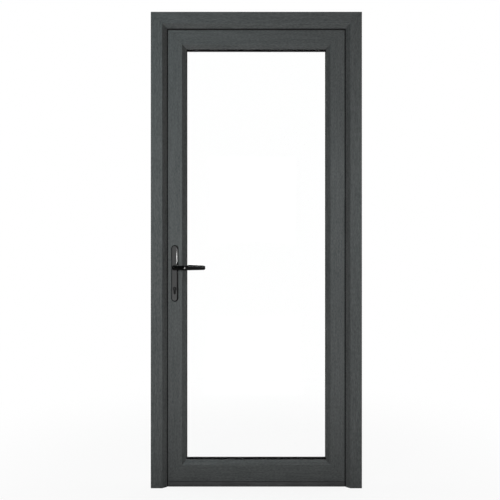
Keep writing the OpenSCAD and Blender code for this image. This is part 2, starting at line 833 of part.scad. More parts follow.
// holes routed through the lock stile for spindle, cylinder, plate screws and lock cases
spindle_room = 1.3;
spindle_room_r = spindle_side / sqrt(2) + spindle_room;
routing_room = 0.5;
module euro(room) {
    circle(r = euro_r + room);
    translate([-euro_tail_w / 2 - room, -euro_drop]) square([euro_tail_w + 2 * room, euro_drop]);
    translate([0, -euro_drop]) circle(r = euro_tail_w / 2 + room);
}
module euro_prism(v0, v1, room) {
    translate([spindle_x, y0 + v1, cylinder_z]) rotate([90, 0, 0]) linear_extrude(v1 - v0) euro(room);
}
module case_room(deep, z0, z1) {
    translate([groove_d - through, case_front - routing_room, z0 - routing_room])
        cube([deep - groove_d + through + routing_room, case_t + 2 * routing_room,
            z1 - z0 + 2 * routing_room]);
}
module plate_screw_way(z, v0, v1) {
    through_leaf(z) translate([0, 0, v0]) cylinder(h = v1 - v0, r = plate_screw_r + plate_screw_room);
}
module lock_routing() {
    v0 = sash_setback - through;
    v1 = sash_back + through;
    through_leaf(spindle_z) translate([0, 0, v0]) cylinder(h = v1 - v0, r = spindle_room_r);
    euro_prism(v0, v1, routing_room);
    for (z = plate_screws) plate_screw_way(z, v0, v1);
    at_lock_edge() {
        case_room(case_deep, case_foot, case_top);
        for (z = hook_zs) case_room(hook_case_deep, z - hook_case_drop, z + hook_case_rise);
    }
}

// U-shaped steels in the sash's main chamber, open towards the edge
sash_steel_t = 2;
sash_steel_end = sash_leg + steel_end_gap;
module channel_section() {
    difference() {
        polygon(rect(groove_floor + clear, glass_floor - profile_wall - clear, sash_web_v + clear,
            sash_rear_v - clear));
        polygon(rect(groove_floor - through, glass_floor - profile_wall - clear - sash_steel_t,
            sash_web_v + clear + sash_steel_t, sash_rear_v - clear - sash_steel_t));
    }
}
module channel(length) {
    translate([0, 0, sash_steel_end]) linear_extrude(length - 2 * sash_steel_end) channel_section();
}
module rail_steels() {
    color(steel) {
        at_top_rail() channel(sash_w);
        at_bottom_rail() channel(sash_w);
    }
}
module hinge_stile_steel() {
    color(steel)
        difference() {
            at_hinge_stile() channel(sash_h);
            hinge_sash_screw_places() screw_hole(hinge_screw_len);
        }
}
module lock_stile_steel() {
    color(steel)
        difference() {
            at_lock_stile() channel(sash_h);
            lock_routing();
        }
}

// sealed glass unit
module pane(v0) {
    color(glass_tint)
        translate([-sash_w / 2 + glass_edge, y0 + v0, sash_foot + glass_edge])
            cube([sash_w - 2 * glass_edge, pane_t, sash_h - 2 * glass_edge]);
}
module outer_pane() { pane(glass_front); }
module inner_pane() { pane(cavity_back); }
spacer_u = glass_edge + sealant_h;
spacer_t = 0.6;
module spacer_bar() {
    color(warm_edge)
        sash_ring(spacer_u, spacer_u + spacer_h)
            difference() {
                polygon(rect(spacer_u, spacer_u + spacer_h, cavity_front, cavity_back));
                polygon(rect(spacer_u + spacer_t, spacer_u + spacer_h - spacer_t, cavity_front + spacer_t,
                    cavity_back - spacer_t));
            }
}
module edge_sealant() {
    color(black)
        sash_ring(glass_edge, spacer_u)
            polygon(rect(glass_edge + clear, spacer_u, cavity_front, cavity_back));
}
packer_len = 100;
packer_inset = 150;
module packer_pair(length) {
    for (z = [sash_leg + packer_inset, length - sash_leg - packer_inset - packer_len])
        translate([glass_floor, glass_front, z])
            cube([glass_edge_gap - loose, glass_back - glass_front, packer_len]);
}
module glazing_packers() {
    color(packer_blue) {
        at_lock_stile() packer_pair(sash_h);
        at_hinge_stile() packer_pair(sash_h);
        at_top_rail() packer_pair(sash_w);
        at_bottom_rail() packer_pair(sash_w);
    }
}

// glazing seals and beads
glazing_lip = 0.8;
seal_overlap = 1;
module outer_glazing_seal() {
    color(black)
        sash_ring(glass_floor, sash_leg + glazing_lip)
            polygon([
                [lip_root + loose, lip_back - root_d + loose],
                [lip_root + root_w - loose, lip_back - root_d + loose],
                [lip_root + root_w - loose, lip_back],
                [sash_leg, lip_back],
                [sash_leg + glazing_lip, glass_front],
                [lip_root - seal_overlap, glass_front],
                [lip_root - seal_overlap, lip_back],
                [lip_root + loose, lip_back]
            ]);
}
module inner_glazing_seal() {
    color(black)
        sash_ring(glass_floor, sash_leg + glazing_lip)
            polygon([
                [lip_root, glass_back],
                [sash_leg + glazing_lip, glass_back],
                [sash_leg, bead_front],
                [lip_root, bead_front]
            ]);
}
bead_sink = 0.4;
bead_back = sash_back - bead_sink;
bead_top_w = 4;
bead_tip = 4;
bead_foot = glass_floor + loose;
bead_wall = 1.6;
bead_outline = rounded([
    [bead_foot, bead_front, 0],
    [sash_leg, bead_front, 0],
    [sash_leg, bead_front + bead_tip, arris_r],
    [bead_foot + bead_top_w, bead_back, arris_r],
    [bead_foot, bead_back, 0],
    [bead_foot, bead_groove_v + bead_groove_w - loose, 0],
    [bead_foot - bead_groove_d + loose, bead_groove_v + bead_groove_w - loose, 0],
    [bead_foot - bead_groove_d + loose, bead_groove_v + loose, 0],
    [bead_foot, bead_groove_v + loose, 0]
]);
bead_run = sash_leg - bead_foot - bead_top_w;
bead_fall = bead_back - bead_front - bead_tip;
bead_in = bead_wall + along_slope(bead_wall, bead_run / bead_fall);
bead_hollow = [
    [bead_foot + bead_wall, bead_front + bead_wall],
    [sash_leg - bead_in, bead_front + bead_wall],
    [sash_leg - bead_in, bead_front + bead_tip],
    [bead_foot + bead_wall,
        bead_front + bead_tip + (bead_run + bead_top_w - bead_in - bead_wall) * bead_fall / bead_run]
];
module bead(length) {
    color(foil)
        member(length, glass_floor - bead_groove_d, sash_leg, true, true) hollow(bead_outline, [bead_hollow]);
}
module bead_top() { at_top_rail() bead(sash_w); }
module bead_bottom() { at_bottom_rail() bead(sash_w); }
module bead_lock_side() { at_lock_stile() bead(sash_h); }
module bead_hinge_side() { at_hinge_stile() bead(sash_h); }

// second weather seal, on the flange that covers the frame inside
flange_seal_front = frame_d + clear;
module sash_seal() {
    color(black)
        sash_ring(-flange_w, 0)
            polygon([
                [flange_root + loose, flange_front + root_d - loose],
                [flange_root + loose, flange_front],
                [-flange_w + seal_overlap, flange_front],
                [-flange_w + seal_overlap, flange_seal_front],
                [flange_root + root_w, flange_seal_front],
                [flange_root + root_w + seal_overlap, flange_front],
                [flange_root + root_w - loose, flange_front],
                [flange_root + root_w - loose, flange_front + root_d - loose]
            ]);
}

// lock: a long faceplate in the edge groove, with the gearbox and two hook cases behind it
faceplate_screw_inset = 15;
faceplate_screw_zs = [
    faceplate_z + faceplate_screw_inset,
    hook_zs[1] - hook_case_drop - faceplate_screw_inset,
    case_foot - faceplate_screw_inset,
    case_top + faceplate_screw_inset,
    hook_zs[0] + hook_case_rise + faceplate_screw_inset,
    faceplate_z + faceplate_len - faceplate_screw_inset
];
module edge_screw_at(z) { translate([0, lock_v, z]) rotate([0, -90, 0]) children(); }
module sash_screws() {
    color(steel) {
        hinge_sash_screw_places() screw(hinge_screw_len);
        at_lock_edge() for (z = faceplate_screw_zs) edge_screw_at(z) screw(short_screw_len);
    }
}
slide_room = 0.4;
tail_room = 1;
cylinder_head_lip = 1;
cylinder_head_r = screw_head_r + cylinder_head_lip;
module latch_way(a0, a1) {
    slot(a0, a1, latch_t + 2 * slide_room, latch_z - latch_h / 2 - slide_room,
        latch_z + latch_h / 2 + slide_room);
}
module bolt_way(a0, a1) {
    slot(a0, a1, bolt_t + 2 * slide_room, bolt_z - bolt_h / 2 - slide_room, bolt_z + bolt_h / 2 + slide_room);
}
module cylinder_screw_way(r, a0, a1) {
    translate([a0, lock_v, cylinder_z - cylinder_screw_drop]) rotate([0, 90, 0]) cylinder(h = a1 - a0, r = r);
}
module lock_faceplate() {
    color(steel)
        at_lock_edge()
            difference() {
                translate([0, lock_v - faceplate_w / 2, faceplate_z])
                    cube([faceplate_t, faceplate_w, faceplate_len]);
                latch_way(-through, faceplate_t + through);
                bolt_way(-through, faceplate_t + through);
                for (z = hook_zs)
                    slot(-through, faceplate_t + through, hook_t + hook_slot_room, z - hook_slot_drop,
                        z + hook_slot_rise);
                for (z = faceplate_screw_zs) edge_screw_at(z) screw_hole(short_screw_len);
                cylinder_screw_way(plate_screw_r + screw_room, -through, faceplate_t + through);
                translate([0, lock_v, cylinder_z - cylinder_screw_drop])
                    rotate([0, -90, 0])
                        translate([0, 0, -screw_head_h])
                            cylinder(h = screw_head_h, r1 = plate_screw_r + screw_room,
                                r2 = cylinder_head_r + screw_room);
            }
}
module gearbox_case() {
    color(steel)
        difference() {
            at_lock_edge()
                difference() {
                    translate([faceplate_t, case_front, case_foot])
                        cube([case_deep - faceplate_t, case_t, case_top - case_foot]);
                    latch_way(faceplate_t - through, latch_tail + latch_throw + tail_room);
                    bolt_way(faceplate_t - through, bolt_len + tail_room);
                    cylinder_screw_way(plate_screw_r + plate_screw_room, faceplate_t - through, backset);
                }
            through_leaf(spindle_z)
                translate([0, 0, case_front - through])
                    cylinder(h = case_t + 2 * through, r = follower_r + running);
            euro_prism(case_front - through, case_back + through, clear);
            for (z = plate_screws) plate_screw_way(z, case_front - through, case_back + through);
            through_leaf(cylinder_z)
                translate([0, 0, lock_v - cam_w / 2 - clear])
                    cylinder(h = cam_w + 2 * clear, r = cam_r + clear);
        }
}
hook_room = 0.5;
module hook_case(z) {
    color(steel)
        at_lock_edge()
            difference() {
                translate([faceplate_t, case_front, z - hook_case_drop])
                    cube([hook_case_deep - faceplate_t, case_t, hook_case_drop + hook_case_rise]);
                slot(faceplate_t - through, hook_case_deep - hook_case_wall, hook_t + 2 * hook_room,
                    z - hook_case_drop + hook_case_wall, z + hook_case_rise - hook_case_wall);
                translate([hook_pivot_a, case_front - through, z])
                    rotate([-90, 0, 0])
                        cylinder(h = case_t + 2 * through, r = hook_pin_r + running);
                translate([faceplate_t - through, rail_v - clear, z - hook_case_drop - through])
                    cube([rail_t + through + 2 * clear, case_back - rail_v + through,
                        hook_case_drop + hook_case_rise + 2 * through]);
            }
}
module upper_hook_case() { hook_case(hook_zs[0]); }
module lower_hook_case() { hook_case(hook_zs[1]); }

// hook: hub, arm and a claw that turns down behind the keep, drawn upright inside its case
function ring_point(r, turn) = [-r * sin(turn), r * cos(turn)];
claw_steps = 6;
claw_root = claw_steps / 2;
hook_throat = 3;
hook_outline = concat(
    [[hook_arm_w / 2, 0]],
    [[hook_arm_w / 2, hook_reach * cos(asin(hook_arm_w / 2 / hook_reach))]],
    [for (k = [0 : claw_steps]) ring_point(hook_reach, k * hook_claw_turn / claw_steps)],
    [
        for (k = [claw_steps : -1 : claw_root])
            ring_point(hook_reach - hook_claw_t, k * hook_claw_turn / claw_steps)
    ],
    [[-hook_arm_w / 2, hook_reach - hook_claw_t - hook_throat], [-hook_arm_w / 2, 0]]
);
module hook(z) {
    color(steel)
        at_lock_edge()
            translate([hook_pivot_a, lock_v, z])
                rotate([90, 0, 0]) {
                    translate([0, 0, -hook_t / 2]) linear_extrude(hook_t) polygon(hook_outline);
                    translate([0, 0, -hook_t / 2]) cylinder(h = hook_t, r = hook_hub_r);
                    translate([0, 0, -case_t / 2]) cylinder(h = case_t, r = hook_pin_r);
                }
}
module upper_hook() { hook(hook_zs[0]); }
module lower_hook() { hook(hook_zs[1]); }

// drive rail in two lengths that run from the gearbox to the hook cases
rail_end_gap = 1;
rail_spans = [
    [case_top + rail_end_gap, hook_zs[0] + hook_case_rise - drive_throw - rail_end_gap],
    [hook_zs[1] - hook_case_drop + rail_end_gap, case_foot - drive_throw - rail_end_gap]
];
module drive_rail() {
    color(steel)
        at_lock_edge()
            for (s = rail_spans)
                translate([faceplate_t + clear, rail_v, s[0]]) cube([rail_t, rail_w, s[1] - s[0]]);
}

// latch with a sloped nose, and a square deadbolt
latch_land = 2.5;
latch_shoulder = 0.5;
nose_back = lock_v + latch_t / 2;
module latch_bolt() {
    color(steel)
        at_lock_edge()
            translate([0, 0, latch_z - latch_h / 2])
                linear_extrude(latch_h)
                    polygon([
                        [-latch_throw, nose_back],
                        [-latch_throw, nose_back - latch_land],
                        [-latch_shoulder, lock_v - latch_t / 2],
                        [latch_tail, lock_v - latch_t / 2],
                        [latch_tail, nose_back]
                    ]);
}
module deadbolt() {
    color(steel) at_lock_edge() slot(clear, bolt_len, bolt_t, bolt_z - bolt_h / 2, bolt_z + bolt_h / 2);
}

// profile cylinder: body, two plug halves and the cam between them
cylinder_v0 = sash_setback - plate_t - cylinder_proud;
cylinder_v1 = sash_back + plate_t + cylinder_proud;
keyway_w = 2;
keyway_h = 8;
keyway_d = 22;
keyway_inset = 2;
module cylinder_body() {
    color(black)
        difference() {
            euro_prism(cylinder_v0, cylinder_v1, 0);
            through_leaf(cylinder_z) {
                translate([0, 0, cylinder_v0 - through])
                    cylinder(h = cylinder_v1 - cylinder_v0 + 2 * through, r = plug_r + running);
                translate([0, 0, lock_v - cam_w / 2 - clear])
                    cylinder(h = cam_w + 2 * clear, r = cam_r + clear);
            }
            at_lock_edge() cylinder_screw_way(plate_screw_r + screw_room, 0, backset + euro_tail_w);
        }
}
module cylinder_plug() {
    color(plug_grey)
        through_leaf(cylinder_z)
            difference() {
                union() {
                    translate([0, 0, cylinder_v0])
                        cylinder(h = lock_v - cam_w / 2 - cylinder_v0, r = plug_r);
                    translate([0, 0, lock_v + cam_w / 2])
                        cylinder(h = cylinder_v1 - lock_v - cam_w / 2, r = plug_r);
                }
                for (v = [cylinder_v0 - through, cylinder_v1 - keyway_d])
                    translate([-keyway_w / 2, -plug_r + keyway_inset, v])
                        cube([keyway_w, keyway_h, keyway_d + through]);
            }
}
cam_tongue_w = 7;
module cam() {
    color(steel)
        through_leaf(cylinder_z)
            translate([0, 0, lock_v - cam_w / 2])
                intersection() {
                    union() {
                        cylinder(h = cam_w, r = euro_r);
                        translate([-cam_tongue_w / 2, 0, 0]) cube([cam_tongue_w, cam_r, cam_w]);
                    }
                    cylinder(h = cam_w, r = cam_r);
                }
}
cylinder_screw_bite = 4;
cylinder_screw_end = backset + cylinder_screw_bite;
module cylinder_screw() {
    color(steel)
        at_lock_edge() {
            cylinder_screw_way(plate_screw_r, screw_head_h, cylinder_screw_end);
            translate([0, lock_v, cylinder_z - cylinder_screw_drop])
                rotate([0, -90, 0])
                    translate([0, 0, -screw_head_h])
                        cylinder(h = screw_head_h, r1 = plate_screw_r, r2 = cylinder_head_r);
        }
}

// handle plates: a rounded section drawn straight, with half-round ends
plate_edge_r = 4;
plate_half = [
    [0, 0, 0],
    [plate_w / 2, 0, 0],
    [plate_w / 2, plate_t, plate_edge_r],
    [0, plate_t, 0]
];
plate_run = plate_h - plate_w;
lever_hub_r = 12;
module plate_form() {
    for (turn = [0, 180])
        rotate([0, 0, turn]) {
            rotate([90, 0, 0])
                linear_extrude(plate_run, center = true)
                    polygon(rounded(plate_half));
            translate([0, plate_run / 2, 0]) rotate_extrude(angle = 180) polygon(rounded(plate_half));
        }
}
module outer_plate_blank() {
    difference() {
        translate([spindle_x, y0 + sash_setback, plate_mid]) rotate([90, 0, 0]) plate_form();
        through_leaf(spindle_z)
            translate([0, 0, sash_setback - plate_t - through])
                cylinder(h = plate_t + 2 * through, r = lever_hub_r + running);
        euro_prism(sash_setback - plate_t - through, sash_setback + through, clear);
    }
}
boss_floor = 2;
module outside_plate() {
    color(black)
        difference() {
            outer_plate_blank();
            for (z = plate_screws)
                through_leaf(z)
                    translate([0, 0, sash_setback - plate_t + boss_floor])
                        cylinder(h = plate_t, r = plate_screw_r + screw_room);
        }
}
plate_head_r = 4.5;
plate_head_h = 2.6;
handle_screw_gap = 1;
handle_screw_v = sash_setback - plate_t + boss_floor + handle_screw_gap;
module inside_plate() {
    color(black)
        difference() {
            on_inside() outer_plate_blank();
            for (z = plate_screws)
                through_leaf(z) {
                    translate([0, 0, sash_back - through])
                        cylinder(h = plate_t + 2 * through, r = plate_screw_r + screw_room);
                    translate([0, 0, sash_back + plate_t - plate_head_h])
                        cylinder(h = plate_head_h + through, r = plate_head_r + screw_room);
                }
        }
}
module handle_screws() {
    color(black)
        for (z = plate_screws)
            through_leaf(z) {
                translate([0, 0, handle_screw_v])
                    cylinder(h = sash_back + plate_t - plate_head_h - handle_screw_v, r = plate_screw_r);
                translate([0, 0, sash_back + plate_t - plate_head_h])
                    cylinder(h = plate_head_h, r = plate_head_r);
            }
}

// lever: a section carried along a cranked path, from the hub out to the grip and along to the tip
hub_rise = 6;
lever_sink = 3;
hub_end = plate_t + hub_rise;
lever_start = hub_end - lever_sink;
crank_len = 56;
crank_rise = 10;
bend_len = 10;
bend_share = 0.2;
bend_steps = 7;
neck_step = 1;
neck_r = lever_hub_r - neck_step;
neck_thinning = 1.5;
tip_turn = 86;
// shares of the grip's height and thickness left at its end, and of those left at the tip
end_share = [0.88, 0.9];
tip_share = [0.35, 0.2];
squareness = 0.8;
grip_steps = 6;
tip_steps = 6;
section_points = 28;
tip_r = 9;
function mix(a, b, t) = a + (b - a) * t;
function smooth(t) = t * t * (3 - 2 * t);
function bend(a, b, c, t) = a * pow(1 - t, 2) + b * 2 * t * (1 - t) + c * t * t;
// the neck's path: out of the hub, round a bend, slanting out, and round the shoulder into the grip
crank_foot = [0, lever_start];
crank_low = [0, lever_start + crank_rise];
crank_high = [crank_len - bend_len, lever_reach];
crank_top = [crank_len, lever_reach];
slant_start = mix(crank_low, crank_high, bend_share);
slant_end = mix(crank_high, crank_low, bend_share);
neck_path = concat(
    [for (k = [0 : bend_steps]) bend(crank_foot, crank_low, slant_start, k / bend_steps)],
    [for (k = [0 : bend_steps]) bend(slant_end, crank_high, crank_top, k / bend_steps)]
);
// each station is [along, out, half height, half thickness]
function lever_stations(grip_end) = concat(
    [
        for (c = neck_path)
            let (t = c[0] / crank_len)
            [c[0], c[1], mix(neck_r, grip_h / 2, smooth(t)),
                mix(neck_r, grip_t / 2, smooth(min(1, neck_thinning * t)))]
    ],
    [
        for (k = [1 : grip_steps])
            let (t = k / grip_steps)
            [mix(crank_len, grip_end, t), lever_reach, grip_h / 2 * mix(1, end_share[0], t),
                grip_t / 2 * mix(1, end_share[1], t)]
    ],
    [
        for (k = [1 : tip_steps])
            let (turn = tip_turn * k / tip_steps)
            [grip_end + tip_r * sin(turn), lever_reach,
                grip_h / 2 * end_share[0] * mix(tip_share[0], 1, cos(turn)),
                grip_t / 2 * end_share[1] * mix(tip_share[1], 1, cos(turn))]
    ]
);
function path_turn(stations, i) =
    let (
        n = len(stations) - 1,
        a = stations[max(i - 1, 0)],
        b = stations[min(i + 1, n)]
    )
    i == 0 ? [0, 1] : unit([b[0] - a[0], b[1] - a[1]]);
function power(c) = sign(c) * pow(abs(c), squareness);
function section(stations, i) =
    let (s = stations[i], t = path_turn(stations, i))
    [
        for (k = [0 : section_points - 1])
            let (
                angle = 360 * k / section_points,
                side = s[3] * power(cos(angle)),
                up = s[2] * power(sin(angle))
            )
            [s[0] + t[1] * side, s[1] - t[0] * side, up]
    ];
function band(i) =
    [
        for (k = [0 : section_points - 1])
            let (a = i * section_points + k, b = i * section_points + (k + 1) % section_points)
            each [[a, b, b + section_points], [a, b + section_points, a + section_points]]
    ];
function lever_points(stations) = [for (i = [0 : len(stations) - 1]) each section(stations, i)];
function lever_faces(count) = concat(
    [[for (k = [section_points - 1 : -1 : 0]) k]],
    [for (i = [0 : count - 2]) each band(i)],
    [[for (k = [0 : section_points - 1]) (count - 1) * section_points + k]]
);
module lever_form(length) {
    stations = lever_stations(length - tip_r);
    polyhedron(points = lever_points(stations), faces = lever_faces(len(stations)));
}
socket_d = 22;
module outer_lever(length) {
    color(black)
        translate([spindle_x, y0 + sash_setback, spindle_z])
            difference() {
                union() {
                    mirror([0, 1, 0]) lever_form(length);
                    rotate([90, 0, 0])
                        translate([0, 0, clear])
                            cylinder(h = hub_end - clear, r = lever_hub_r);
                }
                translate([-socket_side / 2, -socket_d, -socket_side / 2])
                    cube([socket_side, socket_d, socket_side]);
            }
}
module outside_lever() { outer_lever(lever_len); }
module inside_lever() { on_inside() outer_lever(inside_lever_len); }
spindle_gap = 1;
spindle_end = socket_d - spindle_gap;
socket_side = spindle_side + 2 * screw_room;
module spindle() {
    color(steel)
        translate([spindle_x, y0 + sash_setback + sash_d / 2, spindle_z])
            cube([spindle_side, sash_d + 2 * spindle_end, spindle_side], center = true);
}
module follower() {
    color(steel)
        difference() {
            through_leaf(spindle_z) translate([0, 0, case_front]) cylinder(h = case_t, r = follower_r);
            translate([spindle_x, y0 + lock_v, spindle_z])
                cube([socket_side, case_t + 2 * through, socket_side], center = true);
        }
}

frame_head();
frame_lock_jamb();
frame_hinge_jamb();
head_steel();
jamb_steels();
frame_seal();
threshold();
threshold_seal();
threshold_screws();
centre_keep();
upper_keep();
lower_keep();
upper_hinge_frame_leaf();
middle_hinge_frame_leaf();
lower_hinge_frame_leaf();
hinge_pins();
frame_screws();
sash_top_rail();
sash_bottom_rail();
sash_lock_stile();
sash_hinge_stile();
rail_steels();
lock_stile_steel();
hinge_stile_steel();
outer_pane();
inner_pane();
spacer_bar();
edge_sealant();
glazing_packers();
outer_glazing_seal();
inner_glazing_seal();
bead_top();
bead_bottom();
bead_lock_side();
bead_hinge_side();
sash_seal();
upper_hinge_sash_leaf();
middle_hinge_sash_leaf();
lower_hinge_sash_leaf();
sash_screws();
lock_faceplate();
gearbox_case();
upper_hook_case();
lower_hook_case();
cylinder_body();
cylinder_screw();
outside_plate();
inside_plate();
handle_screws();
outside_lever();
inside_lever();
spindle();
follower();
latch_bolt();
deadbolt();
drive_rail();
upper_hook();
lower_hook();
cylinder_plug();
cam();
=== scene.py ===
# pvc door set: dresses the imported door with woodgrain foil, rubber, glass and dark metal
import math

import bmesh
import bpy
import numpy as np
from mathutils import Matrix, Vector


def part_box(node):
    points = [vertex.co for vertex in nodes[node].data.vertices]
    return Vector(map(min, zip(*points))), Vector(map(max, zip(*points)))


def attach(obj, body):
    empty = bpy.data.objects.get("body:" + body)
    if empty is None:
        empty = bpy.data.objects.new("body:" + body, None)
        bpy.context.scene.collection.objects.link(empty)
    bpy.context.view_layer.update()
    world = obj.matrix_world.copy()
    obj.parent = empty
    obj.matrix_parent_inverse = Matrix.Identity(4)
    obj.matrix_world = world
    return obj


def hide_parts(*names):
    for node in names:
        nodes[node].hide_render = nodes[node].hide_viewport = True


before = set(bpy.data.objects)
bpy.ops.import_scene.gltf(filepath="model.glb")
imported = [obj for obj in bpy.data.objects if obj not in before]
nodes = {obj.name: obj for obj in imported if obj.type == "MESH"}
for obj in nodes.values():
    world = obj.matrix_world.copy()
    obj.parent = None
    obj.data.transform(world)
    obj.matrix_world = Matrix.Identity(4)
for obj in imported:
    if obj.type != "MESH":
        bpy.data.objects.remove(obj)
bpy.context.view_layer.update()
scene = bpy.context.scene
scene.view_settings.view_transform = "Standard"
print("door: frame loaded,", len(nodes), "nodes")

# small helpers for node trees
mixSockets = {"dark": 6, "light": 7, "result": 2}  # the mix node's places for colours


def addNode(tree, kind, inputs=None, **settings):
    made = tree.nodes.new(kind)
    for key, value in settings.items():
        setattr(made, key, value)
    for key, value in (inputs or {}).items():
        if isinstance(value, bpy.types.NodeSocket):
            tree.links.new(value, made.inputs[key])
        else:
            made.inputs[key].default_value = value
    return made


def sums(tree, operation, *values):
    made = addNode(tree, "ShaderNodeMath", dict(enumerate(values)), operation=operation)
    return made.outputs[0]


def weighted(tree, *pairs):
    # adds up values times their weights
    parts = [sums(tree, "MULTIPLY", value, weight) for value, weight in pairs]
    total = parts[0]
    for part in parts[1:]:
        total = sums(tree, "ADD", total, part)
    return total


def spread(tree, value, low, high, toLow, toHigh, smooth=False):
    made = addNode(tree, "ShaderNodeMapRange", {
        "Value": value, "From Min": low, "From Max": high, "To Min": toLow, "To Max": toHigh})
    if smooth:
        made.interpolation_type = "SMOOTHSTEP"
    return made.outputs["Result"]


def blendColours(tree, factor, dark, light):
    made = addNode(tree, "ShaderNodeMix", {"Factor": factor}, data_type="RGBA")
    made.inputs[mixSockets["dark"]].default_value = (*dark, 1)
    made.inputs[mixSockets["light"]].default_value = (*light, 1)
    return made.outputs[mixSockets["result"]]


def noise(tree, place, scale, detail, rough):
    scaled = addNode(tree, "ShaderNodeMapping", {"Vector": place, "Scale": scale})
    made = addNode(tree, "ShaderNodeTexNoise", {
        "Vector": scaled.outputs[0], "Scale": 1.0, "Detail": detail, "Roughness": rough})
    return made.outputs[0]


def startMaterial(name, uniform):
    made = bpy.data.materials.new(name)
    made.use_nodes = True
    tree = made.node_tree
    tree.nodes.clear()
    out = tree.nodes.new("ShaderNodeOutputMaterial")
    shader = tree.nodes.new("ShaderNodeBsdfPrincipled")
    tree.links.new(shader.outputs[0], out.inputs[0])
    for key, value in uniform.items():
        shader.inputs[key].default_value = value
    place = addNode(tree, "ShaderNodeTexCoord").outputs["Object"]
    return made, tree, shader, place


def bumpFrom(tree, shader, look, height):
    made = addNode(tree, "ShaderNodeBump", {
        "Height": height, "Strength": look["bump"], "Distance": look["depth"]})
    if "arris" in look:  # a softened edge, as foil wrapped over an arris gives
        soft = addNode(tree, "ShaderNodeBevel", {"Radius": look["arris"]}, samples=look["arrisSamples"])
        tree.links.new(soft.outputs[0], made.inputs["Normal"])
    tree.links.new(made.outputs[0], shader.inputs["Normal"])


# woodgrain foil on the frame and sash: long fibres, short pores, and a fine weld line in each mitre
foilLook = {
    "dark": (0.0214, 0.0211, 0.0207), "light": (0.0733, 0.0722, 0.0709),
    "sheen": (0.88, 1.0, 1.01), "specular": 0.5,
    # each noise: repeats a metre along and across the grain, detail, roughness
    "fibre": (9.0, 170.0, 6, 0.62), "pore": (150.0, 1100.0, 2, 0.5),
    "dash": (85.0, 300.0, 1, 0.5), "broad": (1.3, 9.0, 3, 0.5),
    "fibreTone": 0.35, "broadTone": 0.2, "dashTone": 0.45, "poreTone": -0.08, "weldTone": -0.12,
    "toneFrom": 0.33, "toneTo": 0.65, "poreFrom": 0.56, "poreTo": 0.7,
    "fibreFrom": 0.3, "fibreTo": 0.7, "roughLow": 0.4, "roughHigh": 0.54,
    "poreDepth": -0.5, "weldDepth": -1.0, "bump": 0.5, "depth": 0.0006,
    "weld": 0.0009, "arris": 0.0008, "arrisSamples": 4,
}


def mitreLine(tree, place, half, edge, up):
    # distance from the diagonal that runs in from the corner at (half, edge), faded over the weld's width
    parts = addNode(tree, "ShaderNodeSeparateXYZ", {0: place}).outputs
    inFromSide = sums(tree, "SUBTRACT", half, sums(tree, "ABSOLUTE", parts["X"]))
    inFromEnd = sums(tree, "MULTIPLY", sums(tree, "SUBTRACT", edge, parts["Z"]), up)
    off = sums(tree, "ABSOLUTE", sums(tree, "SUBTRACT", inFromSide, inFromEnd))
    return spread(tree, off, 0.0, foilLook["weld"], 1.0, 0.0, True)


def foilMaterial(name, along, corners):
    look = foilLook
    made, tree, shader, place = startMaterial(name, {
        "Specular IOR Level": look["specular"], "Specular Tint": (*look["sheen"], 1)})

    def grain(key):
        inLine, across, detail, rough = look[key]
        scale = (inLine, across, across) if along == "x" else (across, across, inLine)
        return noise(tree, place, scale, detail, rough)

    fibre, pore, dash, broad = (grain(key) for key in ("fibre", "pore", "dash", "broad"))
    weld = mitreLine(tree, place, *corners[0])
    for corner in corners[1:]:
        weld = sums(tree, "MAXIMUM", weld, mitreLine(tree, place, *corner))
    dips = spread(tree, pore, look["poreFrom"], look["poreTo"], 0.0, 1.0, True)
    tone = weighted(tree, (fibre, look["fibreTone"]), (broad, look["broadTone"]), (dash, look["dashTone"]),
                    (dips, look["poreTone"]), (weld, look["weldTone"]))
    shade = spread(tree, tone, look["toneFrom"], look["toneTo"], 0.0, 1.0)
    colour = blendColours(tree, shade, look["dark"], look["light"])
    rough = spread(tree, fibre, look["fibreFrom"], look["fibreTo"], look["roughHigh"], look["roughLow"])
    height = weighted(tree, (fibre, 1.0), (dips, look["poreDepth"]), (weld, look["weldDepth"]))
    tree.links.new(colour, shader.inputs["Base Color"])
    tree.links.new(rough, shader.inputs["Roughness"])
    bumpFrom(tree, shader, look, height)
    return made


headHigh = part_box("frame_head")[1]
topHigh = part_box("sash_top_rail")[1]
footLow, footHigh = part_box("sash_bottom_rail")
frameCorners = [(headHigh.x, headHigh.z, 1.0)]
sashCorners = [(topHigh.x, topHigh.z, 1.0), (footHigh.x, footLow.z, -1.0)]
foils = {
    "frameAcross": foilMaterial("foilHead", "x", frameCorners),
    "frameUpright": foilMaterial("foilJamb", "z", frameCorners),
    "sashAcross": foilMaterial("foilRail", "x", sashCorners),
    "sashUpright": foilMaterial("foilStile", "z", sashCorners),
}

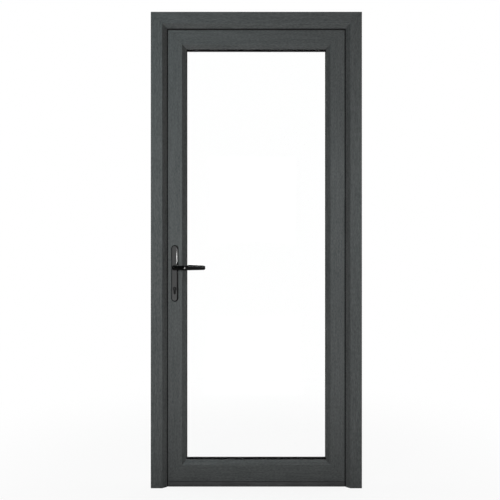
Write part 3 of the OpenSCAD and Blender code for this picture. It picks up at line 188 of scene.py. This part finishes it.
# rubber, metals and plastics: a speckled or drawn tone with its own bump
plainGrain = {
    "grainDetail": 4, "grainRough": 0.6, "grainTone": 0.6,
    "cloud": (14, 14, 14), "cloudDetail": 3, "cloudRough": 0.5, "cloudTone": 0.4,
    "toneFrom": 0.3, "toneTo": 0.7,
}
plainLooks = {
    "sealRubber": {
        "dark": (0.0105, 0.0105, 0.0107), "light": (0.014, 0.014, 0.0143), "scale": (900, 900, 900),
        "rough": (0.6, 0.75), "metal": 0.0, "specular": 0.1, "bump": 0.25, "depth": 0.0002},
    # the threshold seal is a lighter grey than the other rubber: painted light that lifts the shadowed gap
    # under the bottom rail
    "greySealPaintedLight": {
        "dark": (0.022, 0.022, 0.022), "light": (0.034, 0.034, 0.034), "scale": (900, 900, 900),
        "rough": (0.6, 0.75), "metal": 0.0, "specular": 0.2, "bump": 0.2, "depth": 0.0002},
    "sealant": {
        "dark": (0.012, 0.012, 0.012), "light": (0.03, 0.03, 0.03), "scale": (240, 240, 240),
        "rough": (0.55, 0.8), "metal": 0.0, "specular": 0.3, "bump": 0.3, "depth": 0.0006},
    "zincSteel": {
        "dark": (0.42, 0.43, 0.44), "light": (0.6, 0.61, 0.62), "scale": (300, 300, 24),
        "rough": (0.26, 0.42), "metal": 1.0, "specular": 0.5, "bump": 0.12, "depth": 0.0002},
    "galvanised": {
        "dark": (0.36, 0.38, 0.4), "light": (0.6, 0.62, 0.64), "scale": (70, 70, 70),
        "rough": (0.35, 0.55), "metal": 1.0, "specular": 0.5, "bump": 0.1, "depth": 0.0002},
    "powderBlack": {
        "dark": (0.009, 0.009, 0.0095), "light": (0.02, 0.02, 0.021), "scale": (1400, 1400, 1400),
        "rough": (0.4, 0.55), "metal": 0.0, "specular": 0.5, "bump": 0.35, "depth": 0.00025},
    "darkAnodised": {
        "dark": (0.048, 0.048, 0.0485), "light": (0.078, 0.078, 0.079), "scale": (9, 700, 700),
        "rough": (0.34, 0.48), "metal": 0.6, "specular": 0.5, "bump": 0.1, "depth": 0.0002},
    "warmEdge": {
        "dark": (0.016, 0.016, 0.016), "light": (0.022, 0.022, 0.022), "scale": (500, 500, 500),
        "rough": (0.55, 0.7), "metal": 0.0, "specular": 0.1, "bump": 0.2, "depth": 0.0002},
    "packerPlastic": {
        "dark": (0.012, 0.06, 0.2), "light": (0.02, 0.085, 0.27), "scale": (160, 160, 160),
        "rough": (0.4, 0.55), "metal": 0.0, "specular": 0.4, "bump": 0.15, "depth": 0.0003},
    "plateGloss": {
        "dark": (0.027, 0.027, 0.0272), "light": (0.031, 0.031, 0.0312), "scale": (420, 420, 60),
        "rough": (0.06, 0.09), "metal": 0.0, "specular": 0.8, "bump": 0.02, "depth": 0.0002},
    "leverGloss": {
        "dark": (0.0012, 0.0012, 0.0012), "light": (0.0022, 0.0022, 0.0022), "scale": (260, 260, 260),
        "rough": (0.08, 0.12), "metal": 0.0, "specular": 0.11, "bump": 0.02, "depth": 0.0002},
    "rimBlack": {
        "dark": (0.003, 0.003, 0.0031), "light": (0.0055, 0.0055, 0.0056), "scale": (500, 500, 120),
        "rough": (0.25, 0.35), "metal": 0.0, "specular": 0.03, "bump": 0.05, "depth": 0.0002},
    "cylinderBlack": {
        "dark": (0.003, 0.003, 0.0031), "light": (0.006, 0.006, 0.0062), "scale": (600, 600, 600),
        "rough": (0.3, 0.42), "metal": 0.0, "specular": 0.1, "bump": 0.1, "depth": 0.0002},
}


def plainMaterial(name, look):
    mix = plainGrain
    made, tree, shader, place = startMaterial(name, {
        "Metallic": look["metal"], "Specular IOR Level": look["specular"]})
    grain = noise(tree, place, look["scale"], mix["grainDetail"], mix["grainRough"])
    cloud = noise(tree, place, mix["cloud"], mix["cloudDetail"], mix["cloudRough"])
    tone = weighted(tree, (grain, mix["grainTone"]), (cloud, mix["cloudTone"]))
    shade = spread(tree, tone, mix["toneFrom"], mix["toneTo"], 0.0, 1.0)
    colour = blendColours(tree, shade, look["dark"], look["light"])
    rough = spread(tree, tone, mix["toneFrom"], mix["toneTo"], *look["rough"])
    tree.links.new(colour, shader.inputs["Base Color"])
    tree.links.new(rough, shader.inputs["Roughness"])
    bumpFrom(tree, shader, look, grain)
    return made


finishes = {name: plainMaterial(name, look) for name, look in plainLooks.items()}

# clear float glass with faint rolled waviness
glassLook = {
    "tint": (0.9985, 1.0, 0.9995), "deeper": 0.999, "ior": 1.16, "rough": 0.0,
    "wave": (2.2, 2.2, 1.1), "waveDetail": 1, "waveRough": 0.4, "bump": 0.001, "depth": 0.0005,
}


def glassMaterial(name, look):
    made, tree, shader, place = startMaterial(name, {
        "Transmission Weight": 1.0, "IOR": look["ior"], "Roughness": look["rough"]})
    wave = noise(tree, place, look["wave"], look["waveDetail"], look["waveRough"])
    deeper = tuple(c * look["deeper"] for c in look["tint"])
    tree.links.new(blendColours(tree, wave, deeper, look["tint"]), shader.inputs["Base Color"])
    bumpFrom(tree, shader, look, wave)
    return made


finishes["floatGlass"] = glassMaterial("floatGlass", glassLook)
print("door: finishes made,", len(finishes) + len(foils))

# which finish each carried-over node takes
dressed = {
    "frameAcross": ["frame_head"],
    "frameUpright": ["frame_lock_jamb", "frame_hinge_jamb"],
    "sashAcross": ["sash_top_rail", "sash_bottom_rail", "bead_top", "bead_bottom"],
    "sashUpright": ["sash_lock_stile", "sash_hinge_stile", "bead_lock_side", "bead_hinge_side"],
    # the threshold seal's lighter grey is painted light in the shadowed gap under the bottom rail
    "greySealPaintedLight": ["threshold_seal"],
    "sealRubber": ["frame_seal", "outer_glazing_seal", "inner_glazing_seal", "sash_seal"],
    "sealant": ["edge_sealant"],
    "galvanised": ["head_steel", "jamb_steels", "rail_steels", "lock_stile_steel", "hinge_stile_steel"],
    "zincSteel": ["threshold_screws", "centre_keep", "upper_keep", "lower_keep", "hinge_pins",
                  "lock_faceplate", "gearbox_case", "upper_hook_case", "lower_hook_case", "cylinder_screw",
                  "spindle", "follower", "latch_bolt", "deadbolt", "drive_rail", "upper_hook", "lower_hook",
                  "cam", "frame_screws", "sash_screws"],
    "powderBlack": [f"{level}_hinge_{side}_leaf" for level in ("upper", "middle", "lower")
                    for side in ("frame", "sash")],
    "darkAnodised": ["threshold"],
    "warmEdge": ["spacer_bar"],
    "packerPlastic": ["glazing_packers"],
    "cylinderBlack": ["cylinder_body", "cylinder_plug"],
    "floatGlass": ["outer_pane", "inner_pane"],
    "plateGloss": ["outside_plate", "inside_plate", "handle_screws"],
    "leverGloss": ["outside_lever", "inside_lever"],
}
for finish, names in dressed.items():
    for name in names:
        slots = nodes[name].data.materials
        slots.clear()
        slots.append(foils.get(finish) or finishes[finish])
print("door: nodes dressed,", sum(len(names) for names in dressed.values()))

# new pieces: a grid of points becomes a closed smooth mesh
joinedWithin = 2e-6
pinPoint = 1e-7  # radius of a ring that closes to a point


def gridQuads(rows, columns):
    # neighbouring rows joined all the way round
    start = np.arange(rows - 1)[:, None] * columns
    left = start + np.arange(columns)[None, :]
    right = start + (np.arange(columns)[None, :] + 1) % columns
    return np.stack([left, right, right + columns, left + columns], -1).reshape(-1, 4)


def makePiece(name, points, quads, body, finish, stoodFor, sharp):
    mesh = bpy.data.meshes.new(name)
    corners = points[quads]
    crossed = np.cross(corners[:, 2] - corners[:, 0], corners[:, 3] - corners[:, 1])
    if (corners.mean(1) * crossed).sum() < 0:  # faces look outwards
        quads = quads[:, ::-1]
    mesh.from_pydata(points.tolist(), [], quads.tolist())
    work = bmesh.new()
    work.from_mesh(mesh)
    bmesh.ops.remove_doubles(work, verts=work.verts, dist=joinedWithin)
    work.to_mesh(mesh)
    work.free()
    mesh.validate()
    mesh.polygons.foreach_set("use_smooth", np.ones(len(mesh.polygons), bool))
    mesh.set_sharp_from_angle(angle=math.radians(sharp))
    mesh.materials.append(finishes[finish])
    made = bpy.data.objects.new(name, mesh)
    scene.collection.objects.link(made)
    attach(made, body)
    if stoodFor:
        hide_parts(*stoodFor)


# lever: a round hub that cranks out and along into a flattened grip with a rounded tip
leverLook = {
    "hubRadius": 0.012, "hubFoot": 0.0003, "hubTop": 0.0145, "neckRadius": 0.011,
    "start": 0.011, "rise": 0.010, "reach": 0.052, "crank": 0.074,
    "facetFrom": (0.0455, 0.05065), "facetTo": (0.053, 0.05184),
    "bendShare": 0.2, "slantShare": 0.05, "facetShare": 0.1, "shoulderShare": 0.05,
    "waist": 0.0009, "waistAt": 0.45, "waistSpread": 0.2, "halfPace": 1.3, "thickPace": 1.35,
    "gripHalf": 0.010, "gripThick": 0.006, "endUp": 0.79, "endThick": 0.9,
    "tip": 0.009, "tipPower": 0.8, "tipLeast": 1e-6,
    "neckDrop": 0.0003, "endDrop": 0.0006, "square": 0.48,
    "hubRings": 6, "bendRings": 18, "hiddenRings": 5, "slantRings": 14, "facetRings": 6, "topRings": 16,
    "gripRings": 24, "tipRings": 18, "columns": 72, "sharp": 50,
}
spindleX = sum(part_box("spindle")[i].x for i in (0, 1)) / 2
spindleZ = sum(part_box("spindle")[i].z for i in (0, 1)) / 2
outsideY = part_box("outside_plate")[1].y
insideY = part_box("inside_plate")[0].y


def ease(t):
    return t * t * (3 - 2 * t)


def between(a, b, share):
    return a + (b - a) * share


def bend(a, b, c, count):
    t = np.linspace(0, 1, count)[:, None]
    return a * (1 - t) ** 2 + b * 2 * t * (1 - t) + c * t * t


def line(a, b, count):
    return between(a, b, np.linspace(0, 1, count)[1:-1, None])


def rounded(wave, power):
    return np.sign(wave) * np.abs(wave) ** power


# a section is its place along and out, its half height, its half thickness, and its corner power
def hubSections(look):
    edge = look["hubRadius"] - look["neckRadius"]
    turn = np.linspace(0, math.pi / 2, look["hubRings"])
    out = np.r_[look["hubFoot"], look["hubFoot"], look["hubTop"] - edge + edge * np.sin(turn)]
    radius = np.r_[pinPoint, look["hubRadius"], look["neckRadius"] + edge * np.cos(turn)]
    return np.column_stack([np.zeros(len(out)), out, radius, radius, np.ones(len(out))])


def neckSections(look):
    # out of the hub, along a slant, over a short facet, and round to the grip
    foot, low = np.array([0, look["start"]]), np.array([0, look["start"] + look["rise"]])
    near, far = np.array(look["facetFrom"]), np.array(look["facetTo"])
    top = np.array([look["crank"], look["reach"]])
    slantStart, slantEnd = between(low, near, look["bendShare"]), between(near, low, look["slantShare"])
    facetStart, facetEnd = between(near, far, look["facetShare"]), between(far, near, look["shoulderShare"])
    crank = np.vstack([
        bend(foot, low, slantStart, look["bendRings"])[look["hiddenRings"]:],
        line(slantStart, slantEnd, look["slantRings"]),
        bend(slantEnd, near, facetStart, look["facetRings"]),
        line(facetStart, facetEnd, look["facetRings"]),
        bend(facetEnd, far, top, look["topRings"])])
    share = np.minimum(1, crank[:, 0] / look["facetTo"][0])
    waist = look["waist"] * np.exp(-((share - look["waistAt"]) / look["waistSpread"]) ** 2)
    halfShare = ease(np.minimum(1, look["halfPace"] * share))
    thickShare = ease(np.minimum(1, look["thickPace"] * share))
    return np.column_stack([
        crank, between(look["neckRadius"], look["gripHalf"], halfShare) - waist,
        between(look["neckRadius"], look["gripThick"], thickShare), between(1, look["square"], thickShare)])


def levelSections(look, along, half, thick):
    # sections of the straight grip and its tip
    return np.column_stack([along, np.full(len(along), look["reach"]), np.broadcast_to(half, len(along)),
                            np.broadcast_to(thick, len(along)), np.full(len(along), look["square"])])


def leverPoints(look, length):
    # superellipse sections carried along the lever's route, with a taper and a slight drop to its end
    gripEnd, neckEnd = length - look["tip"], look["facetTo"][0]
    hub = hubSections(look)
    gripX = between(look["crank"], gripEnd, np.linspace(0, 1, look["gripRings"])[1:])
    arm = np.vstack([neckSections(look), levelSections(look, gripX, look["gripHalf"], look["gripThick"])])
    taper = np.clip((arm[:, 0] - neckEnd) / (gripEnd - neckEnd), 0, 1)
    arm[:, 2] *= between(1, look["endUp"], taper)
    arm[:, 3] *= between(1, look["endThick"], taper)
    swing = np.linspace(0, math.pi / 2, look["tipRings"])[1:]
    shut = np.maximum(np.cos(swing) ** look["tipPower"], look["tipLeast"])
    tip = levelSections(look, gripEnd + look["tip"] * np.sin(swing), look["gripHalf"] * look["endUp"] * shut,
                        look["gripThick"] * look["endThick"] * shut)
    route = np.vstack([hub, arm, tip])
    heading = np.gradient(route[:, :2], axis=0)
    heading[:len(hub) + 1] = (0, 1)
    heading[-len(tip) - 1:] = (1, 0)
    heading /= np.linalg.norm(heading, axis=1, keepdims=True)
    along, out, half, thick, power = (route[:, i:i + 1] for i in range(5))
    angle = np.linspace(0, 2 * math.pi, look["columns"], endpoint=False)
    side = thick * rounded(np.cos(angle)[None], power)
    up = half * rounded(np.sin(angle)[None], power)
    drop = (look["neckDrop"] * ease(np.clip(along / neckEnd, 0, 1))
            + look["endDrop"] * np.clip((along - neckEnd) / (gripEnd - neckEnd), 0, 1))
    return np.stack([along + heading[:, 1:2] * side, out - heading[:, 0:1] * side, up - drop], -1)


for name, face, out, node in (("leverOutside", outsideY, -1, "outside_lever"),
                              ("leverInside", insideY, 1, "inside_lever")):
    lever = leverPoints(leverLook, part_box(node)[1].x - spindleX)
    placed = np.stack([spindleX + lever[..., 0], face + out * lever[..., 1], spindleZ + lever[..., 2]], -1)
    makePiece(name, placed.reshape(-1, 3), gridQuads(*placed.shape[:2]), "handle", "leverGloss",
              [node], leverLook["sharp"])
print("door: levers swept")

# handle plates: a black rounded rim with a satin face standing on it, chamfered all round; the face sits a
# little left of centre so the black rim shows wider on the right, painted shade for the plate's shadow on that
# side
plateLook = {
    "shift": -0.0006, "rimInset": 0.0002, "rimThick": 0.0056, "rimEdge": 0.0022,
    "faceInset": 0.0038, "faceShift": -0.0009, "faceFoot": 0.0050, "faceTop": 0.0078,
    "chamfer": 0.0011, "chamferDrop": 0.00056, "crown": 0.0001,
    "middle": 1e-9, "edgeRings": 8, "crownRings": 7, "columns": 64, "sharp": 20,
}


def stadium(rings, heights, half):
    # each ring is two half circles of its radius, set apart by the plate's straight length
    halfTurn = np.linspace(0, math.pi, plateLook["columns"] // 2)
    angle = np.r_[halfTurn, halfTurn + math.pi]
    apart = np.r_[np.full(len(halfTurn), half), np.full(len(halfTurn), -half)]
    return np.stack([rings[:, None] * np.cos(angle), np.repeat(heights[:, None], len(angle), 1),
                     rings[:, None] * np.sin(angle) + apart], -1)


def rimPoints(look, half, radius):
    # out along the back, up a rounded edge, and in over the top to the middle line
    turn = np.linspace(0, math.pi / 2, look["edgeRings"])
    rings = np.r_[look["middle"], radius, radius - look["rimEdge"] * (1 - np.cos(turn)), look["middle"]]
    heights = np.r_[0, 0, look["rimThick"] - look["rimEdge"] * (1 - np.sin(turn)), look["rimThick"]]
    return stadium(rings, heights, half)


def facePoints(look, half, radius):
    # up a short wall, over a chamfer, and on a low crown to the middle line
    wide = radius - look["faceInset"]
    flat = wide - look["chamfer"]
    edgeTop = look["faceTop"] - look["crown"]
    share = np.linspace(0, 1, look["crownRings"])[1:]
    rings = np.r_[look["middle"], wide, wide, flat, flat * (1 - share)]
    heights = np.r_[look["faceFoot"], look["faceFoot"], edgeTop - look["chamferDrop"], edgeTop,
                    look["faceTop"] - look["crown"] * (1 - share) ** 2]
    return stadium(rings, heights, half)


for side, node, out in (("Outside", "outside_plate", -1), ("Inside", "inside_plate", 1)):
    low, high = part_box(node)
    radius = (high.x - low.x) / 2 - plateLook["rimInset"]
    half = (high.z - low.z) / 2 - radius
    seat = high.y if out < 0 else low.y
    for name, shape, finish, over, stoodFor in (
            ("plateRim", rimPoints, "rimBlack", 0.0, [node]),
            # the face's offset to the left widens the black rim on the right: painted shade
            ("plateFace", facePoints, "plateGloss", plateLook["faceShift"], [])):
        plate = shape(plateLook, half, radius)
        placed = np.stack([(low.x + high.x) / 2 + plateLook["shift"] + over + plate[..., 0],
                           seat + out * plate[..., 1], (low.z + high.z) / 2 + plate[..., 2]], -1)
        makePiece(name + side, placed.reshape(-1, 3), gridQuads(*placed.shape[:2]), "leaf",
                  finish, stoodFor, plateLook["sharp"])
print("door: plates made")

# screws: countersunk heads with a cross recess, for the hinges, keeps, faceplate and handle
screwLook = {
    "headRadius": 0.004, "headDeep": 0.0024, "shankRadius": 0.002, "point": 0.003, "softEdge": 0.0001,
    "armLength": 0.0023, "armHalf": 0.00042, "recess": 0.0015, "recessShrink": 0.7,
    "gapSteps": 7, "tiny": 1e-9, "sharp": 20,
}
handleScrewLook = {**screwLook, "headRadius": 0.0045, "shankRadius": 0.0025, "point": 0.001}
screwSeats = {
    "hingeHeights": (1.83, 1.0375, 0.245), "hingeSteps": (-0.036, 0, 0.036), "hingeLength": 0.027,
    "frameLeaf": (0.4506, 0.0385), "sashLeaf": ((0.394, 0.0605), (0.367, 0.0605)),
    "keep": (-0.409, 0.012), "keepHeights": (0.893, 1.023, 1.5415, 1.603, 0.3415, 0.403),
    "faceplate": (-0.402, 0.012), "faceplateHeights": (0.125, 0.331, 0.823, 1.049, 1.621, 1.795),
    "lockLength": 0.016,
    "handle": (-0.357, 0.065), "handleHeights": (0.82725, 1.04275), "handleLength": 0.083,
}
turns = {  # the way a head looks out, with the two directions across it
    "inwards": np.array([[0, 0, 1], [1, 0, 0], [0, 1, 0]]),
    "toHinges": np.array([[0, 1, 0], [0, 0, 1], [1, 0, 0]]),
    "toLock": np.array([[0, 0, 1], [0, 1, 0], [-1, 0, 0]]),
}


def screwRow(seats, heights, way, length):
    return [((*seat, z), way, screwSeats[length]) for z in heights for seat in seats]


hingeRows = [height + step for height in screwSeats["hingeHeights"] for step in screwSeats["hingeSteps"]]
screwSets = [
    ("frameScrews", "frame_screws", "frame", "zinc_steel", "zincSteel", screwLook,
     screwRow([screwSeats["frameLeaf"]], hingeRows, "inwards", "hingeLength")
     + screwRow([screwSeats["keep"]], screwSeats["keepHeights"], "toHinges", "lockLength")),
    ("sashScrews", "sash_screws", "leaf", "zinc_steel", "zincSteel", screwLook,
     screwRow(screwSeats["sashLeaf"], hingeRows, "inwards", "hingeLength")
     + screwRow([screwSeats["faceplate"]], screwSeats["faceplateHeights"], "toLock", "lockLength")),
    ("handleScrews", "handle_screws", "leaf", "handle_black", "rimBlack", handleScrewLook,
     screwRow([screwSeats["handle"]], screwSeats["handleHeights"], "inwards", "handleLength")),
]


def screwPoints(look, length):
    # a turned profile from the point up the shank and cone to a flat head, then down a cross-shaped recess
    armTurn = math.atan2(look["armHalf"], look["armLength"])
    quarter = np.r_[0, armTurn, np.linspace(armTurn, math.pi / 2 - armTurn, look["gapSteps"])[1:]]
    angle = (quarter[None] + np.arange(4)[:, None] * math.pi / 2).reshape(-1)
    folded = np.abs((angle + math.pi / 4) % (math.pi / 2) - math.pi / 4)
    cross = np.where(folded <= armTurn + look["tiny"], look["armLength"] / np.cos(folded),
                     look["armHalf"] / np.maximum(np.sin(folded), look["tiny"]))
    whole = np.ones(len(angle))
    head, shank = look["headRadius"] * whole, look["shankRadius"] * whole
    rings = np.stack([pinPoint * whole, shank, shank, head, (look["headRadius"] - look["softEdge"]) * whole,
                      cross, cross * look["recessShrink"], pinPoint * whole])
    heights = np.array([-length, look["point"] - length, -look["headDeep"], -look["softEdge"], 0, 0,
                        -look["recess"], -look["recess"]])
    return np.stack([rings * np.cos(angle), rings * np.sin(angle),
                     np.repeat(heights[:, None], len(angle), 1)], -1)


for name, node, body, slot, finish, look, places in screwSets:
    screws = [screwPoints(look, length) for at, way, length in places]
    placed = [screw.reshape(-1, 3) @ turns[way] + np.array(at)
              for screw, (at, way, length) in zip(screws, places)]
    quads = gridQuads(*screws[0].shape[:2])
    allQuads = (quads[None] + np.arange(len(placed))[:, None, None] * len(placed[0])).reshape(-1, 4)
    makePiece(name, np.vstack(placed), allQuads, body, finish, [node], look["sharp"])
print("door: screws turned")

# stage: a pale floor, a white surround with darker sides, soft lamps all round, and the camera
stageLook = {
    "floorHalf": 14.0, "floorCells": 8, "floorHeight": -0.0008,
    "floorColour": (0.82, 0.82, 0.82), "floorDeeper": 0.985, "floorRough": 0.9,
    "cloud": (1.5, 1.5, 1.5), "cloudDetail": 3, "cloudRough": 0.5,
    "nearWhite": 0.9, "whiteFrom": 0.7, "whiteTo": 2.2,
    "floorGloss": 1.0, "nearGloss": 0.2, "nearFrom": 0.3, "nearTo": 0.8,
    "fill": 0.12, "gloss": 0.75, "sideDark": 0.2, "sideFrom": 0.45, "sideTo": 0.85,
    "camera": (-0.0277, -2.735, 1.0375), "lens": 44.65, "sensor": 36, "clipEnd": 100,
}
# the two sparks are what the lever's facet and the plate's chamfer mirror
lamps = [
    {"name": "keyBox", "place": (-1.2, -2.6, 2.8), "aim": (0, 0, 1.05), "size": 0.8, "power": 10.8,
     "colour": (0.8, 1.0, 1.05)},
    {"name": "leftSpark", "place": (-1.4855, -2.717, 0.88), "aim": (-0.3, 0, 0.96), "size": 0.1, "tall": 0.4,
     "power": 8.4},
    {"name": "lowBox", "place": (0, -1.9, 0.25), "aim": (0, 0, 1.95), "size": 0.7, "power": 4.2},
    {"name": "frontBox", "place": (0, -3.2, 1.52), "aim": (0, 0, 1.05), "size": 0.8, "power": 24.5},
    {"name": "rightSpark", "place": (1.8, -2.0, 1.01), "aim": (-0.36, 0, 1.0), "size": 0.16, "tall": 0.11,
     "power": 2.5},
    {"name": "leftSide", "place": (-3.2, 0.7, 1.6), "aim": (-0.46, 0, 1.05), "size": 1.2, "power": 40},
    {"name": "rightSide", "place": (3.2, 0.7, 1.6), "aim": (0.46, 0, 1.05), "size": 1.2, "power": 40},
    {"name": "backBox", "place": (1.2, 2.8, 2.8), "aim": (0, 0, 1.05), "size": 0.9, "power": 26},
    {"name": "backLow", "place": (-0.6, 3.4, 1.2), "aim": (0, 0, 1.05), "size": 0.9, "power": 26},
]


def lookedAt(tree, rays):
    # straight from the camera or through glass, before any bounce off a matt surface
    direct = sums(tree, "MAXIMUM", rays["Is Camera Ray"], rays["Is Transmission Ray"])
    return sums(tree, "MULTIPLY", direct, spread(tree, rays["Diffuse Depth"], 0.0, 1.0, 1.0, 0.0))


def sideShade(tree, heading):
    # the surround is darker towards the left and right
    sideways = sums(tree, "ABSOLUTE", addNode(tree, "ShaderNodeSeparateXYZ", {0: heading}).outputs["X"])
    return spread(tree, sideways, stageLook["sideFrom"], stageLook["sideTo"], 1.0, stageLook["sideDark"], True)


def floorMaterial(look):
    # matt where light falls on it, and white where it is looked at, a little less so near the door
    made, tree, shader, place = startMaterial("paleFloor", {
        "Roughness": look["floorRough"], "Specular IOR Level": 0.0})
    cloud = noise(tree, place, look["cloud"], look["cloudDetail"], look["cloudRough"])
    deeper = tuple(c * look["floorDeeper"] for c in look["floorColour"])
    tree.links.new(blendColours(tree, cloud, deeper, look["floorColour"]), shader.inputs["Base Color"])
    rays = addNode(tree, "ShaderNodeLightPath").outputs
    apart = sums(tree, "ABSOLUTE", addNode(tree, "ShaderNodeSeparateXYZ", {0: place}).outputs["Y"])
    mirror = spread(tree, apart, look["nearFrom"], look["nearTo"], look["nearGloss"], look["floorGloss"], True)
    outward = addNode(tree, "ShaderNodeVectorMath", {0: place}, operation="NORMALIZE").outputs[0]
    mirror = sums(tree, "MULTIPLY", mirror, sideShade(tree, outward))
    mirrored = sums(tree, "MULTIPLY", rays["Is Glossy Ray"], mirror)
    seen = sums(tree, "MAXIMUM", lookedAt(tree, rays), mirrored)
    away = addNode(tree, "ShaderNodeVectorMath", {0: place}, operation="LENGTH").outputs["Value"]
    white = spread(tree, away, look["whiteFrom"], look["whiteTo"], look["nearWhite"], 1.0, True)
    glow = addNode(tree, "ShaderNodeEmission", {"Strength": 1.0})
    mixed = addNode(tree, "ShaderNodeMixShader", {
        0: sums(tree, "MULTIPLY", seen, white), 1: shader.outputs[0], 2: glow.outputs[0]})
    out = next(n for n in tree.nodes if n.type == "OUTPUT_MATERIAL")
    tree.links.new(mixed.outputs[0], out.inputs[0])
    return made


def buildStage(look):
    cells = look["floorCells"]
    count = cells + 1
    across = np.linspace(-look["floorHalf"], look["floorHalf"], count)
    level = np.full((count, count), look["floorHeight"])
    grid = np.stack([*np.meshgrid(across, across, indexing="ij"), level], -1)
    first = (np.arange(cells)[:, None] * count + np.arange(cells)[None]).reshape(-1)
    quads = np.stack([first, first + count, first + count + 1, first + 1], 1)
    mesh = bpy.data.meshes.new("floor")
    mesh.from_pydata(grid.reshape(-1, 3).tolist(), [], quads.tolist())
    mesh.materials.append(floorMaterial(look))
    floor = bpy.data.objects.new("floor", mesh)
    scene.collection.objects.link(floor)


def buildWorld(look):
    # white where it is looked at, bright in reflections, and a low fill on matt surfaces
    world = bpy.data.worlds.new("studio")
    world.use_nodes = True
    scene.world = world
    tree = world.node_tree
    tree.nodes.clear()
    rays = addNode(tree, "ShaderNodeLightPath").outputs
    heading = addNode(tree, "ShaderNodeTexCoord").outputs["Generated"]
    level = spread(tree, rays["Is Glossy Ray"], 0.0, 1.0, look["fill"], look["gloss"])
    lit = sums(tree, "MULTIPLY", level, sideShade(tree, heading))
    strength = sums(tree, "MAXIMUM", lit, lookedAt(tree, rays))
    back = addNode(tree, "ShaderNodeBackground", {"Color": (1, 1, 1, 1), "Strength": strength})
    out = tree.nodes.new("ShaderNodeOutputWorld")
    tree.links.new(back.outputs[0], out.inputs[0])


def buildLamps():
    for look in lamps:
        lamp = bpy.data.lights.new(look["name"], "AREA")
        lamp.shape = "RECTANGLE"
        lamp.size = look["size"]
        lamp.size_y = look.get("tall", look["size"])
        lamp.energy = look["power"]
        lamp.color = look.get("colour", (1, 1, 1))
        made = bpy.data.objects.new(look["name"], lamp)
        made.location = look["place"]
        aim = Vector(look["aim"]) - made.location
        made.rotation_mode = "QUATERNION"
        made.rotation_quaternion = aim.to_track_quat("-Z", "Y")
        made.visible_camera = False
        made.visible_transmission = False
        scene.collection.objects.link(made)


def buildCamera(look):
    camera = bpy.data.cameras.new("photoCamera")
    camera.lens = look["lens"]
    camera.sensor_width = look["sensor"]
    camera.clip_end = look["clipEnd"]
    made = bpy.data.objects.new("photoCamera", camera)
    made.location = look["camera"]
    made.rotation_euler = (math.pi / 2, 0, 0)
    scene.collection.objects.link(made)
    scene.camera = made


buildStage(stageLook)
buildWorld(stageLook)
buildLamps()
buildCamera(stageLook)
print("door: stage set")
